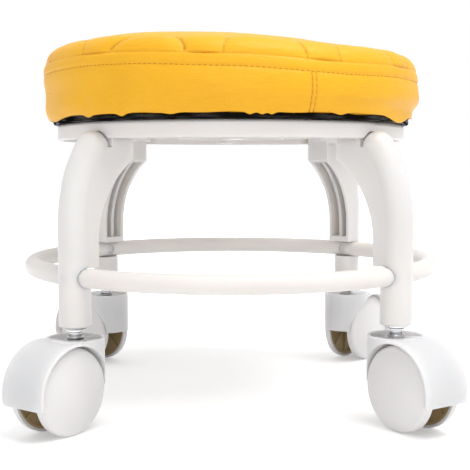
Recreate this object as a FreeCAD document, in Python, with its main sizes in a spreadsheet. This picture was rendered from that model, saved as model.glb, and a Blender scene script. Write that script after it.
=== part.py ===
import FreeCAD, Part
import os
import re
import Sketcher

# A low rolling stool: a round padded seat on a frame of four legs and a foot ring, on twin-wheel casters.
# Millimetres, +Z up, the origin on the floor under the middle of the seat, the front of the stool towards -Y.

doc = FreeCAD.newDocument("low_rolling_stool")

# Driving dimensions
sizes = (
    # Padded seat: how far it stands out past its board, and its steps up from the hem to the crown
    ("hem_overhang", "5.5"),
    ("side_overhang", "9.3"),
    ("stitch_overhang", "7.9"),
    ("welt_overhang", "7.8"),
    ("seam_overhang", "6.6"),
    ("shoulder_overhang", "3.5"),
    ("crown_inset", "5.3"),
    ("side_rise", "14.5"),
    ("stitch_rise", "24.8"),
    ("seam_rise", "6.9"),
    ("shoulder_rise", "7"),
    ("crown_edge_rise", "4.2"),
    ("crown_rise", "11"),
    ("sewn_depth", "0.9"),
    ("sewn_width", "1.4"),
    ("cover_padding", "4"),
    ("leather", "1.1"),
    ("hem_length", "16"),
    ("scallop_count", "11"),
    ("scallop_turn", "15.4"),
    ("scallop_radius", "24"),
    ("scallop_inset", "2"),
    ("scallop_groove", "2.2"),
    ("scallop_lift", "0.6"),
    ("scallop_lean", "16"),
    # Board, dust cover and the fasteners of the seat
    ("board_radius", "115.3"),
    ("board_thickness", "9"),
    ("dust_cloth", "0.5"),
    ("dust_rim_height", "3.5"),
    ("staple_count", "24"),
    ("staple_inset", "9.3"),
    ("staple_crown", "8"),
    ("staple_wire", "0.6"),
    ("staple_leg", "5"),
    ("seat_bolt_count", "4"),
    ("seat_bolt_spread", "62"),
    ("seat_bolt_diameter", "6"),
    ("seat_bolt_head", "11"),
    ("seat_bolt_head_height", "3.6"),
    ("seat_bolt_reach", "8"),
    ("tee_nut_barrel", "8"),
    ("tee_nut_flange", "19"),
    ("tee_nut_sheet", "1.2"),
    # Seat plate
    ("plate_inset", "0.8"),
    ("plate_lift", "5.2"),
    ("plate_depth", "10.2"),
    ("plate_skin", "3"),
    ("plate_skirt", "3"),
    ("plate_edge", "2.4"),
    ("rib_thickness", "1.8"),
    ("rib_drop", "5.5"),
    ("rib_ring_radius", "34"),
    ("guide_gap", "2.6"),
    ("guide_length", "24"),
    ("bolt_boss", "16"),
    # Legs
    ("leg_count", "4"),
    ("first_leg_turn", "45"),
    ("dome_overhang", "4.25"),
    ("leg_width", "19"),
    ("leg_wall", "2.4"),
    ("leg_side_inset", "0.25"),
    ("leg_foot_rise", "6.2"),
    ("leg_straight", "20"),
    ("leg_bend_radius", "81"),
    ("leg_bend_turn", "34"),
    ("leg_edge", "0.8"),
    ("web_depth", "10.6"),
    ("web_bend_drop", "10"),
    ("web_bow", "7.2"),
    ("leg_rib", "2.4"),
    ("leg_rib_setback", "2"),
    ("head_length", "16.2"),
    ("head_height", "19.7"),
    ("head_top_wall", "3.5"),
    ("head_boss", "7"),
    ("head_boss_length", "13"),
    ("channel_rise", "4.2"),
    # Leg screws
    ("leg_screw_diameter", "3.5"),
    ("leg_screw_head", "7"),
    ("leg_screw_head_height", "2"),
    ("leg_screw_length", "15"),
    ("leg_screw_setback", "4.5"),
    ("leg_screw_spacing", "7.5"),
    # Foot ring and its screws
    ("ring_inset", "1.3"),
    ("ring_rise", "28.6"),
    ("ring_tube", "11.4"),
    ("ring_fit", "0.1"),
    ("ring_screw_diameter", "3"),
    ("ring_screw_head", "5.4"),
    ("ring_screw_head_height", "1.6"),
    ("ring_screw_sink", "2.3"),
    ("ring_screw_bite", "3.6"),
    # Caster stem, socket and clip
    ("stem_diameter", "8"),
    ("stem_socket_wall", "1.5"),
    ("stem_length", "18"),
    ("stem_socket_depth", "20"),
    ("stem_collar", "13.4"),
    ("stem_collar_height", "1.1"),
    ("stem_washer", "10.2"),
    ("stem_washer_height", "0.9"),
    ("stem_washer_gap", "0.6"),
    ("stem_neck", "7.4"),
    ("stem_flange", "9.8"),
    ("stem_flange_height", "1"),
    ("stem_pivot", "7"),
    ("stem_point", "0.8"),
    ("stem_tip_drop", "5.5"),
    ("clip_width", "10.6"),
    ("clip_thickness", "1.2"),
    ("clip_groove_depth", "0.8"),
    # Caster hood
    ("wheel_diameter", "50"),
    ("axle_setback", "14"),
    ("wheel_gap", "1.4"),
    ("hood_wall", "1.5"),
    ("hood_half_width", "16.5"),
    ("hood_edge", "1.2"),
    ("hood_corner", "3"),
    ("hood_trailing_drop", "6"),
    ("cup_radius", "16.9"),
    ("cup_rise", "0.4"),
    ("cup_wall", "1.7"),
    ("boss_radius", "6.3"),
    ("boss_length", "16.2"),
    ("boss_step", "1.1"),
    ("cup_rib", "1.3"),
    ("cup_rib_count", "6"),
    ("fork_thickness", "4"),
    ("axle_boss", "10"),
    # Axle and wheels, measured outwards from the middle of the caster
    ("axle_diameter", "5"),
    ("axle_head", "7.2"),
    ("axle_head_height", "0.9"),
    ("axle_boss_setback", "0.6"),
    ("wheel_inner_face", "8"),
    ("wheel_tread", "5.6"),
    ("wheel_dome", "3.4"),
    ("wheel_shell", "1.6"),
    ("wheel_edge", "2.8"),
    ("core_hub", "10.4"),
    ("core_hub_step", "0.5"),
    ("core_disc", "1.4"),
    ("core_disc_setback", "1.8"),
    ("core_rim", "1.6"),
    ("core_recess", "0.5"),
    ("core_spoke", "1.4"),
    ("core_spoke_count", "8"),
    ("core_spoke_setback", "0.6"),
    # The way that each caster points as the stool stands
    ("front_left_turn", "232"),
    ("front_right_turn", "302"),
    ("rear_right_turn", "48"),
    ("rear_left_turn", "138"),
    # Clearances
    ("running_fit", "0.06"),
    ("seat_fit", "0.05"),
    ("side_play", "0.3"),
    ("soft_gap", "0.3"),
    ("overrun", "5"),
)

# Places that follow from the sizes: from the floor up through the casters and legs to the plate and the seat
derived = {
    "wheel_radius": "wheel_diameter / 2",
    "well_radius": "wheel_radius + wheel_gap",
    "hood_radius": "well_radius + hood_wall",
    "cup_top": "wheel_radius + hood_radius + cup_rise",
    "boss_top": "cup_top - boss_step",
    "boss_bottom": "boss_top - boss_length",
    "stem_tip": "boss_bottom - stem_tip_drop",
    "hood_trailing_edge": "wheel_radius - hood_trailing_drop",
    "axle_boss_width": "2 * (wheel_inner_face - axle_boss_setback)",
    "wheel_rim_face": "wheel_inner_face + wheel_tread",
    "wheel_dome_face": "wheel_rim_face + wheel_dome",
    "core_disc_face": "wheel_rim_face - core_disc_setback",
    "core_hub_face": "core_disc_face + core_hub_step",
    "leg_foot": "cup_top + leg_foot_rise",
    "ring_height": "leg_foot + ring_rise",
    "channel_floor": "ring_height + ring_tube / 2 + channel_rise",
    "leg_bend_height": "channel_floor + leg_straight",
    "dome_height": "leg_bend_height + leg_bend_radius * sin(leg_bend_turn)",
    "plate_bottom": "dome_height + plate_lift",
    "plate_top": "plate_bottom + plate_depth",
    "plate_under": "plate_top - plate_skin",
    "plate_radius": "board_radius - plate_inset",
    "dome_reach": "plate_radius + dome_overhang",
    "leg_spread": "dome_reach + leg_bend_radius * (1 - cos(leg_bend_turn))",
    "bend_middle": "leg_spread - leg_bend_radius",
    "ring_radius": "leg_spread - ring_inset",
    "web_edge_radius": "leg_spread - web_depth",
    "web_bend_height": "leg_bend_height - web_bend_drop",
    "head_outside": "plate_radius - plate_skirt - side_play",
    "head_radius": "head_outside - head_length",
    "head_bottom": "plate_under - head_height",
    "web_run": "web_edge_radius - head_radius",
    "web_climb": "head_bottom - web_bend_height",
    "web_chord": "sqrt(web_run ^ 2 + web_climb ^ 2)",
    "web_middle_radius": "(web_edge_radius + head_radius) / 2 + web_bow * web_climb / web_chord",
    "web_middle_height": "(web_bend_height + head_bottom) / 2 + web_bow * web_run / web_chord",
    "leg_screw_inner": "head_radius + leg_screw_setback",
    "leg_screw_outer": "leg_screw_inner + leg_screw_spacing",
    "head_seat": "plate_bottom + seat_bolt_head_height",
    "hem_low": "plate_top + dust_cloth + staple_wire",
    "board_bottom": "hem_low + leather",
    "board_top": "board_bottom + board_thickness",
    "hem_inner": "board_radius + seat_fit",
    "hem_outer": "hem_inner + leather",
    "seat_hem_radius": "board_radius + hem_overhang",
    "seat_hem_height": "plate_top + dust_rim_height + soft_gap",
    "seat_side_radius": "board_radius + side_overhang",
    "seat_side_height": "seat_hem_height + side_rise",
    "stitch_radius": "board_radius + stitch_overhang",
    "stitch_height": "seat_hem_height + stitch_rise",
    "welt_radius": "board_radius + welt_overhang",
    "seam_radius": "board_radius + seam_overhang",
    "seam_height": "stitch_height + seam_rise",
    "shoulder_radius": "board_radius + shoulder_overhang",
    "shoulder_height": "seam_height + shoulder_rise",
    "crown_radius": "board_radius - crown_inset",
    "crown_height": "shoulder_height + crown_edge_rise",
    "seat_height": "crown_height + crown_rise",
    "staple_spread": "board_radius - staple_inset",
}

sheet = doc.addObject("Spreadsheet::Sheet", "Sizes")
for row, (alias, number) in enumerate(sizes, start=1):
    sheet.set(f"A{row}", alias)
    sheet.set(f"B{row}", number)
    sheet.setAlias(f"B{row}", alias)
doc.recompute()
aliases = {alias for alias, number in sizes}
full_turn = 360
upright = FreeCAD.Vector(0, 0, 1)
# A solid made along Z is laid along X or Y with these turns
along = {
    "Z": FreeCAD.Rotation(),
    "X": FreeCAD.Rotation(FreeCAD.Vector(0, 1, 0), 90),
    "Y": FreeCAD.Rotation(FreeCAD.Vector(1, 0, 0), -90),
}


def formula(text):
    """Turns a sum of size names into an expression that reads the sheet."""
    def read(word):
        if word[0] in derived:
            return f"({formula(derived[word[0]])})"
        return f"Sizes.{word[0]}" if word[0] in aliases else word[0]

    return re.sub(r"[a-z_]+", read, str(text))


def value(text):
    """The number that a sum of size names comes to."""
    return float(sheet.evalExpression(formula(text)))


def bind(thing, name, text):
    thing.setExpression(name, formula(text))


def put(thing, place=("0", "0", "0"), axis="Z", turn=None):
    """Places an object by three sums of sizes, laid along an axis or turned about Z by an angle."""
    thing.Placement = FreeCAD.Placement(FreeCAD.Vector(), along[axis])
    for letter, text in zip("xyz", place):
        bind(thing, f"Placement.Base.{letter}", text)
    if turn is not None:
        thing.Placement.Rotation = FreeCAD.Rotation(upright, value(turn))
        bind(thing, "Placement.Rotation.Angle", turn)
    return thing


# Sketches and the bodies made from them

def new_sketch(body, name, role="XZ_Plane"):
    sketch = body.newObject("Sketcher::SketchObject", name)
    plane = next(feature for feature in body.Origin.OriginFeatures if feature.Role == role)
    sketch.AttachmentSupport = (plane, [""])
    sketch.MapMode = "FlatFace"
    return sketch


def pin_point(sketch, piece, end, corner):
    """Fixes a point of a sketch at two sums of sizes."""
    for kind, text in zip(("DistanceX", "DistanceY"), corner):
        number = sketch.addConstraint(Sketcher.Constraint(kind, -1, 1, piece, end, value(text)))
        if str(text) != "0":
            bind(sketch, f"Constraints[{number}]", text)


def draw(sketch, corners, bulges=None, axis=-2, axis_place="0"):
    """Draws a closed outline. A bulge, by the number of its first corner, is a point that an arc passes
    through, or the word axis for an arc whose centre lies on the line that the outline is turned about."""
    bulges = bulges or {}
    points = [FreeCAD.Vector(value(x), value(y), 0) for x, y in corners]
    ends = []
    for number, start in enumerate(points):
        stop = points[(number + 1) % len(points)]
        bulge = bulges.get(number)
        if bulge is None:
            ends.append((sketch.addGeometry(Part.LineSegment(start, stop)), 1, 2))
            continue
        if bulge == "axis":
            foot = FreeCAD.Vector(value(axis_place), 0, 0)
            rise = ((start - foot).Length ** 2 - (stop - foot).Length ** 2) / (2 * (start.y - stop.y))
            centre = foot + FreeCAD.Vector(0, rise, 0)
            middle = (start + stop) / 2 - centre
            through = centre + middle.normalize() * (start - centre).Length
        else:
            through = FreeCAD.Vector(value(bulge[0]), value(bulge[1]), 0)
        leftwards = (through - start).cross(stop - through).z > 0
        arc = Part.Arc(start, through, stop) if leftwards else Part.Arc(stop, through, start)
        piece = sketch.addGeometry(arc)
        ends.append((piece, 1, 2) if leftwards else (piece, 2, 1))
    for number, (piece, first, last) in enumerate(ends):
        before = ends[number - 1]
        sketch.addConstraint(Sketcher.Constraint("Coincident", before[0], before[2], piece, first))
        pin_point(sketch, piece, first, corners[number])
        bulge = bulges.get(number)
        if bulge == "axis":
            sketch.addConstraint(Sketcher.Constraint("PointOnObject", piece, 3, axis))
        elif bulge is not None:
            mark = sketch.addGeometry(Part.Point(FreeCAD.Vector(value(bulge[0]), value(bulge[1]), 0)), True)
            pin_point(sketch, mark, 1, bulge)
            sketch.addConstraint(Sketcher.Constraint("PointOnObject", mark, 1, piece))


def new_body(name):
    """A body that may hold several separate solids."""
    body = doc.addObject("PartDesign::Body", name)
    body.AllowCompound = True
    return body


def axis_line(sketch, start, stop):
    """A construction line of a sketch, which a turned feature or a pattern takes as its axis."""
    ends = [FreeCAD.Vector(value(x), value(y), 0) for x, y in (start, stop)]
    line = sketch.addGeometry(Part.LineSegment(*ends), True)
    pin_point(sketch, line, 1, start)
    pin_point(sketch, line, 2, stop)
    return line


def turn_feature(body, sketch, name, axis="V_Axis", kind="Revolution"):
    feature = body.newObject(f"PartDesign::{kind}", name)
    feature.Profile = sketch
    feature.ReferenceAxis = (sketch, [axis])
    feature.Angle = full_turn
    body.Tip = feature
    return feature


def pad_feature(body, sketch, name, length, symmetric=True):
    feature = body.newObject("PartDesign::Pad", name)
    feature.Profile = sketch
    feature.SideType = "Symmetric" if symmetric else "One side"
    bind(feature, "Length", length)
    body.Tip = feature
    return feature


def repeat(body, feature, name, count, axis=None):
    """Repeats a feature round the body's Z axis, or round a sketch's own axis."""
    upright_axis = next(line for line in body.Origin.OriginFeatures if line.Role == "Z_Axis")
    pattern = body.newObject("PartDesign::PolarPattern", name)
    pattern.Originals = [feature]
    pattern.Axis = axis or (upright_axis, [""])
    pattern.Angle = full_turn
    bind(pattern, "Occurrences", count)
    body.Tip = pattern
    return pattern


def turned(name, corners, bulges=None):
    """A body turned about Z from an outline of radii and heights."""
    body = new_body(name)
    sketch = new_sketch(body, f"{name}_outline")
    draw(sketch, corners, bulges)
    turn_feature(body, sketch, f"{name}_turn")
    return body


def turned_set(name, start, stop, corners, count):
    """Solids turned about an axis of their own, in the XZ plane, and repeated round Z."""
    body = new_body(name)
    sketch = new_sketch(body, f"{name}_outline")
    draw(sketch, corners)
    axis_line(sketch, start, stop)
    feature = turn_feature(body, sketch, f"{name}_turn", "Axis0")
    repeat(body, feature, f"{name}_set", count)
    return body


def padded(name, corners, thickness, bulges=None):
    """A body of even thickness across Y from an outline in X and Z."""
    body = new_body(name)
    sketch = new_sketch(body, f"{name}_outline")
    draw(sketch, corners, bulges)
    pad_feature(body, sketch, f"{name}_pad", thickness)
    return body


# Plain solids and their sums

def rod(name, diameter, length, place=("0", "0", "0"), axis="Z"):
    solid = doc.addObject("Part::Cylinder", name)
    bind(solid, "Radius", f"({diameter}) / 2")
    bind(solid, "Height", length)
    return put(solid, place, axis)


def block(name, extents, place):
    solid = doc.addObject("Part::Box", name)
    for side, text in zip(("Length", "Width", "Height"), extents):
        bind(solid, side, text)
    return put(solid, place)


def hoop(name, radius, tube, place=("0", "0", "0")):
    solid = doc.addObject("Part::Torus", name)
    bind(solid, "Radius1", radius)
    bind(solid, "Radius2", f"({tube}) / 2")
    return put(solid, place)


def joined(name, pieces):
    whole = doc.addObject("Part::MultiFuse", name)
    whole.Shapes = pieces
    return whole


def shared(name, pieces):
    common = doc.addObject("Part::MultiCommon", name)
    common.Shapes = pieces
    return common


def cut(name, base, tool):
    rest = doc.addObject("Part::Cut", name)
    rest.Base = base
    rest.Tool = tool
    return rest


# Finished sub-parts

finished = []


def finish(thing, label):
    """Names a sub-part and puts it on the list of those that are written out."""
    thing.Label = label
    finished.append(thing)
    return thing


def copy_of(master, label):
    """A sub-part that repeats a master solid and has a placement of its own."""
    body = new_body(f"{label}_copy")
    base = body.newObject("PartDesign::FeatureBase", f"{label}_base")
    base.BaseFeature = master
    body.Tip = base
    return finish(body, label)


# Shares of a round edge and of a slanted thickness
round_share = "(1 - cos(45))"
diagonal_share = "0.75"


# Seat cover: padded leather with a sewn top edge, a crown, a ring of sewn scallops and a hem under the board
def sewn_line(radius, height):
    """The three corners of a row of stitches that draws the cover in."""
    return [
        (radius, f"{height} - sewn_width / 2"),
        (f"{radius} - sewn_depth", height),
        (radius, f"{height} + sewn_width / 2"),
    ]


def under_cover(gap):
    """The inside of the padded cover, from the board up to the middle, drawn in by a gap."""
    inner = f"(cover_padding + {gap})"
    corners = [
        (f"hem_inner - {gap}", "board_top"),
        (f"stitch_radius - {inner}", "stitch_height"),
        (f"seam_radius - {inner}", "seam_height"),
        ("crown_radius", f"crown_height - {inner}"),
        ("0", f"seat_height - {inner}"),
    ]
    slant = f"{inner} * {diagonal_share}"
    return corners, (f"shoulder_radius - {slant}", f"shoulder_height - {slant}")


inside, inside_shoulder = under_cover("0")
outside = [
    ("hem_inner - hem_length", "hem_low"),
    ("hem_outer", "hem_low"),
    ("hem_outer", "seat_hem_height"),
    ("seat_hem_radius", "seat_hem_height"),
    *sewn_line("stitch_radius", "stitch_height"),
    *sewn_line("seam_radius", "seam_height"),
    ("crown_radius", "crown_height"),
    ("0", "seat_height"),
]
first_inside = len(outside)
hem = [("hem_inner", "board_bottom"), ("hem_inner - hem_length", "board_bottom")]
seat_cover = turned("seat_cover", outside + inside[::-1] + hem, {
    3: ("seat_side_radius", "seat_side_height"),
    6: ("welt_radius", "(stitch_height + seam_height) / 2"),
    9: ("shoulder_radius", "shoulder_height"),
    10: "axis",
    first_inside: "axis",
    first_inside + 1: inside_shoulder,
})
scallop_middle = ("seam_radius - scallop_inset", "shoulder_height + scallop_lift")
scallop_top = (
    f"{scallop_middle[0]} - scallop_radius * cos(scallop_lean)",
    f"{scallop_middle[1]} + scallop_radius * sin(scallop_lean)",
)
scallop_sketch = new_sketch(seat_cover, "scallop_outline")
thread = scallop_sketch.addGeometry(
    Part.Circle(FreeCAD.Vector(*map(value, scallop_top), 0), upright, value("scallop_groove")))
pin_point(scallop_sketch, thread, 3, scallop_top)
thread_size = scallop_sketch.addConstraint(Sketcher.Constraint("Radius", thread, value("scallop_groove")))
bind(scallop_sketch, f"Constraints[{thread_size}]", "scallop_groove")
axis_line(scallop_sketch, scallop_middle, (
    f"{scallop_middle[0]} + scallop_radius * sin(scallop_lean)",
    f"{scallop_middle[1]} + scallop_radius * cos(scallop_lean)",
))
scallop = turn_feature(seat_cover, scallop_sketch, "scallop", "Axis0", "Groove")
repeat(seat_cover, scallop, "scallops", "scallop_count")
put(finish(seat_cover, "seat_cover"), turn="scallop_turn")

# Seat foam: one moulded pad between the board and the cover
foam_corners, foam_shoulder = under_cover("soft_gap")
seat_foam = turned("seat_foam", [("0", "board_top")] + foam_corners, {3: foam_shoulder, 4: "axis"})
finish(seat_foam, "seat_foam")

# Seat bolts: up through the plate, their heads sunk in its bosses, into tee nuts let into the top of the board
bolt_axis = (("seat_bolt_spread", "plate_under"), ("seat_bolt_spread", "board_top"))


def bolt_set(name, rows):
    """Solids turned about the axes of the seat bolts, from an outline of radii and heights."""
    return turned_set(name, *bolt_axis, [(f"seat_bolt_spread + {x}", z) for x, z in rows], "seat_bolt_count")


bolt_end = "board_bottom + seat_bolt_reach"
seat_bolts = bolt_set("seat_bolts", [
    ("0", "plate_bottom"),
    ("seat_bolt_head / 2", "plate_bottom"),
    ("seat_bolt_head / 2", "head_seat"),
    ("seat_bolt_diameter / 2", "head_seat"),
    ("seat_bolt_diameter / 2", bolt_end),
    ("0", bolt_end),
])
finish(seat_bolts, "seat_bolts")

nut_sheet_low = "(board_top - tee_nut_sheet)"
nut_bore = "(seat_bolt_diameter / 2 + seat_fit)"
nut_rows = [
    (nut_bore, "board_bottom"),
    ("tee_nut_barrel / 2", "board_bottom"),
    ("tee_nut_barrel / 2", nut_sheet_low),
    ("tee_nut_flange / 2", nut_sheet_low),
    ("tee_nut_flange / 2", "board_top"),
    (nut_bore, "board_top"),
]
finish(bolt_set("tee_nuts", nut_rows), "seat_tee_nuts")

# Seat board: a plywood disc with a stepped hole for each tee nut
board_blank = rod("board_blank", "2 * board_radius", "board_thickness", ("0", "0", "board_bottom"))
nut_hole_rows = [
    ("0", "board_bottom - overrun"),
    ("tee_nut_barrel / 2 + seat_fit", "board_bottom - overrun"),
    ("tee_nut_barrel / 2 + seat_fit", nut_sheet_low),
    ("tee_nut_flange / 2 + seat_fit", nut_sheet_low),
    ("tee_nut_flange / 2 + seat_fit", "board_top + overrun"),
    ("0", "board_top + overrun"),
]
finish(cut("board", board_blank, bolt_set("nut_holes", nut_hole_rows)), "seat_board")

# Cover staples: round the underside of the board, each crown across the hem and its legs up in the board
staples = new_body("staples")
staple_sketch = new_sketch(staples, "staple_outline", "YZ_Plane")
bind(staple_sketch, "AttachmentOffset.Base.z", "staple_spread")
half_crown = "staple_crown / 2"
crown_top = "hem_low - staple_wire"
leg_top = "hem_low + leather + staple_leg"
draw(staple_sketch, [
    (f"-{half_crown}", crown_top),
    (half_crown, crown_top),
    (half_crown, leg_top),
    (f"{half_crown} - staple_wire", leg_top),
    (f"{half_crown} - staple_wire", "hem_low"),
    (f"staple_wire - {half_crown}", "hem_low"),
    (f"staple_wire - {half_crown}", leg_top),
    (f"-{half_crown}", leg_top),
])
staple = pad_feature(staples, staple_sketch, "staple", "staple_wire")
repeat(staples, staple, "staple_ring", "staple_count")
finish(staples, "cover_staples")

# Dust cover: thin black cloth under the board, turned up round the hem, with holes for the bolts
cloth_inner = "(hem_outer + soft_gap)"
cloth = turned("cloth", [
    ("0", "plate_top"),
    (f"{cloth_inner} + dust_cloth", "plate_top"),
    (f"{cloth_inner} + dust_cloth", "plate_top + dust_rim_height"),
    (cloth_inner, "plate_top + dust_rim_height"),
    (cloth_inner, "plate_top + dust_cloth"),
    ("0", "plate_top + dust_cloth"),
])


def bolt_holes(name):
    """Clear holes for the seat bolts, with a sunk seat for each head, up through the dust cover."""
    head_hole = "seat_bolt_head / 2 + soft_gap"
    shank_hole = "seat_bolt_diameter / 2 + soft_gap"
    return bolt_set(name, [
        ("0", "plate_bottom - overrun"),
        (head_hole, "plate_bottom - overrun"),
        (head_hole, "head_seat"),
        (shank_hole, "head_seat"),
        (shank_hole, "plate_top + overrun"),
        ("0", "plate_top + overrun"),
    ])


finish(cut("dust_cover", cloth, bolt_holes("cloth_holes")), "dust_cover")

# Seat plate: a skin with a rounded, downturned rim, ribs and bolt bosses below, and a notch for each leg head
plate_outline = [
    ("0", "plate_top"),
    ("plate_radius - plate_edge", "plate_top"),
    ("plate_radius", "plate_top - plate_edge"),
    ("plate_radius", "plate_bottom + plate_edge / 2"),
    ("plate_radius - plate_edge / 2", "plate_bottom"),
    ("plate_radius - plate_skirt", "plate_bottom"),
    ("plate_radius - plate_skirt", "plate_under"),
    ("rib_ring_radius + rib_thickness", "plate_under"),
    ("rib_ring_radius + rib_thickness", "plate_under - rib_drop"),
    ("rib_ring_radius", "plate_under - rib_drop"),
    ("rib_ring_radius", "plate_under"),
    ("0", "plate_under"),
]
plate_turned = turned("plate_turned", plate_outline, {
    1: (f"plate_radius - plate_edge * {round_share}", f"plate_top - plate_edge * {round_share}"),
    3: (f"plate_radius - plate_edge / 2 * {round_share}", f"plate_bottom + plate_edge / 2 * {round_share}"),
})
rib_sketch = new_sketch(plate_turned, "rib_outline")
rib_inner = "rib_ring_radius + rib_thickness / 2"
rib_outer = "plate_radius - plate_skirt / 2"
rib_top = "plate_under + plate_skin / 2"
draw(rib_sketch, [
    (rib_inner, "plate_under - rib_drop"),
    (rib_outer, "plate_under - rib_drop"),
    (rib_outer, rib_top),
    (rib_inner, rib_top),
])
repeat(plate_turned, pad_feature(plate_turned, rib_sketch, "rib", "rib_thickness"), "ribs", "seat_bolt_count")
boss_rows = [
    ("0", "plate_bottom"),
    ("bolt_boss / 2", "plate_bottom"),
    ("bolt_boss / 2", rib_top),
    ("0", rib_top),
]
bolt_bosses = bolt_set("bolt_bosses", boss_rows)

guides = new_body("guides")
guide_sketch = new_sketch(guides, "guide_outline", "XY_Plane")
bind(guide_sketch, "AttachmentOffset.Base.z", "plate_bottom")
guide_inner = "plate_radius - plate_skirt - guide_length"
guide_outer = "plate_radius - plate_skirt / 2"
guide_near = "(leg_width / 2 + guide_gap)"
for side in ("", "-"):
    draw(guide_sketch, [
        (guide_inner, f"{side}{guide_near}"),
        (guide_outer, f"{side}{guide_near}"),
        (guide_outer, f"{side}({guide_near} + rib_thickness)"),
        (guide_inner, f"{side}({guide_near} + rib_thickness)"),
    ])
guide_height = f"{rib_top} - plate_bottom"
guide = pad_feature(guides, guide_sketch, "guide", guide_height, symmetric=False)
repeat(guides, guide, "guide_set", "leg_count")
put(guides, turn="first_leg_turn")

notch_radius = "(leg_width / 2 + seat_fit)"
notches = turned_set("notches", ("0", "dome_height"), ("leg_spread", "dome_height"), [
    ("head_outside", "dome_height"),
    ("leg_spread", "dome_height"),
    ("leg_spread", f"dome_height + {notch_radius}"),
    ("head_outside", f"dome_height + {notch_radius}"),
], "leg_count")
put(notches, turn="first_leg_turn")

screw_places = ("leg_screw_inner", "leg_screw_outer")


def leg_screw_set(name, place, gap):
    """Countersunk screws from the top of the plate down into the leg heads, or their holes, wider by a gap."""
    shank = f"(leg_screw_diameter / 2 + {gap})"
    tip = f"(plate_top - leg_screw_length - {gap})"
    neck = "(plate_top - leg_screw_head_height)"
    rows = [
        ("0", tip),
        (shank, tip),
        (shank, neck),
        (f"leg_screw_head / 2 + {gap}", "plate_top"),
        ("0", "plate_top"),
    ]
    screws = turned_set(name, (place, tip), (place, "plate_top"),
                        [(f"{place} + {x}", z) for x, z in rows], "leg_count")
    return put(screws, turn="first_leg_turn")


screw_holes = [leg_screw_set(f"leg_screw_holes_{number}", place, "seat_fit")
               for number, place in enumerate(screw_places)]
plate_blank = joined("plate_blank", [plate_turned, bolt_bosses, guides])
plate_tools = joined("plate_tools", [notches, bolt_holes("plate_holes"), *screw_holes])
finish(cut("plate", plate_blank, plate_tools), "seat_plate")

leg_screws = [leg_screw_set(f"leg_screws_{number}", place, "0") for number, place in enumerate(screw_places)]
finish(joined("leg_screws", leg_screws), "leg_screws")


# Legs: half round outside, an open channel inside, a head block under the plate and a round post below
def bent_round(name, diameter, low):
    """The round of a leg: a straight stretch, a bend inwards and a domed end."""
    straight = rod(f"{name}_straight", diameter, f"leg_bend_height - {low}", ("leg_spread", "0", low))
    bend = hoop(f"{name}_bend", "leg_bend_radius", diameter, ("bend_middle", "0", "leg_bend_height"))
    bend.Placement.Rotation = FreeCAD.Rotation(FreeCAD.Vector(1, 0, 0), 90)
    bind(bend, "Angle3", "leg_bend_turn")
    dome = doc.addObject("Part::Sphere", f"{name}_dome")
    bind(dome, "Radius", f"({diameter}) / 2")
    dome.Angle1 = 0
    put(dome, ("dome_reach", "0", "dome_height"))
    dome.Placement.Rotation = FreeCAD.Rotation(FreeCAD.Vector(0, -1, 0), value("leg_bend_turn"))
    bind(dome, "Placement.Rotation.Angle", "leg_bend_turn")
    return [straight, bend, dome]


def bend_point(outwards, turn):
    """A point beside the bend's centre line, at an angle along the bend."""
    reach = f"(leg_bend_radius + {outwards})"
    return f"bend_middle + {reach} * cos({turn})", f"leg_bend_height + {reach} * sin({turn})"


half_bend = "leg_bend_turn / 2"
web_width = "(leg_width - 2 * leg_side_inset)"
web = padded("web", [
    ("leg_spread", "ring_height - ring_tube / 2"),
    ("web_edge_radius", "ring_height - ring_tube / 2"),
    ("web_edge_radius", "web_bend_height"),
    ("head_radius", "head_bottom"),
    ("head_radius", "plate_under"),
    ("head_outside", "plate_under"),
    ("head_outside", "dome_height"),
    ("dome_reach", "dome_height"),
    ("leg_spread", "leg_bend_height"),
], web_width, {2: ("web_middle_radius", "web_middle_height"), 7: bend_point("0", half_bend)})
channel = padded("channel", [
    ("leg_spread", "channel_floor"),
    ("web_edge_radius - overrun", "channel_floor"),
    ("web_edge_radius - overrun", "web_bend_height"),
    ("head_radius + leg_wall", "head_bottom - overrun"),
    ("head_radius + leg_wall", "plate_under - head_top_wall"),
    ("head_outside - leg_wall", "plate_under - head_top_wall"),
    ("head_outside - leg_wall", "dome_height"),
    ("dome_reach", "dome_height"),
    ("leg_spread", "leg_bend_height"),
], f"{web_width} - 2 * leg_wall", {
    2: ("web_middle_radius - overrun", "web_middle_height"),
    7: bend_point("0", half_bend),
})
rib_root = "(leg_width / 2 - leg_wall / 2)"
leg_rib = padded("leg_rib", [
    (f"leg_spread + {rib_root}", "channel_floor - leg_wall"),
    ("web_edge_radius + leg_rib_setback", "channel_floor - leg_wall"),
    ("web_edge_radius + leg_rib_setback", "web_bend_height"),
    ("head_radius + leg_wall / 2", "head_bottom + leg_rib_setback"),
    ("head_radius + leg_wall / 2", "plate_under - head_top_wall / 2"),
    ("head_outside - leg_wall / 2", "plate_under - head_top_wall / 2"),
    ("head_outside - leg_wall / 2", "dome_height"),
    bend_point(rib_root, "leg_bend_turn"),
    (f"leg_spread + {rib_root}", "leg_bend_height"),
], "leg_rib", {
    2: ("web_middle_radius + leg_rib_setback", "web_middle_height"),
    7: bend_point(rib_root, half_bend),
})
leg_outside = joined("leg_outside", bent_round("leg_round", "leg_width", "leg_foot") + [web])
leg_hollow = bent_round("leg_hollow", "leg_width - 2 * leg_wall", "channel_floor")
leg_inside = joined("leg_inside", leg_hollow + [channel])
head_bosses = [rod(f"head_boss_{number}", "head_boss", "head_boss_length",
                   (place, "0", "plate_under - head_boss_length")) for number, place in enumerate(screw_places)]
leg_blank = joined("leg_blank", [cut("leg_shell", leg_outside, leg_inside), leg_rib, *head_bosses])

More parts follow.
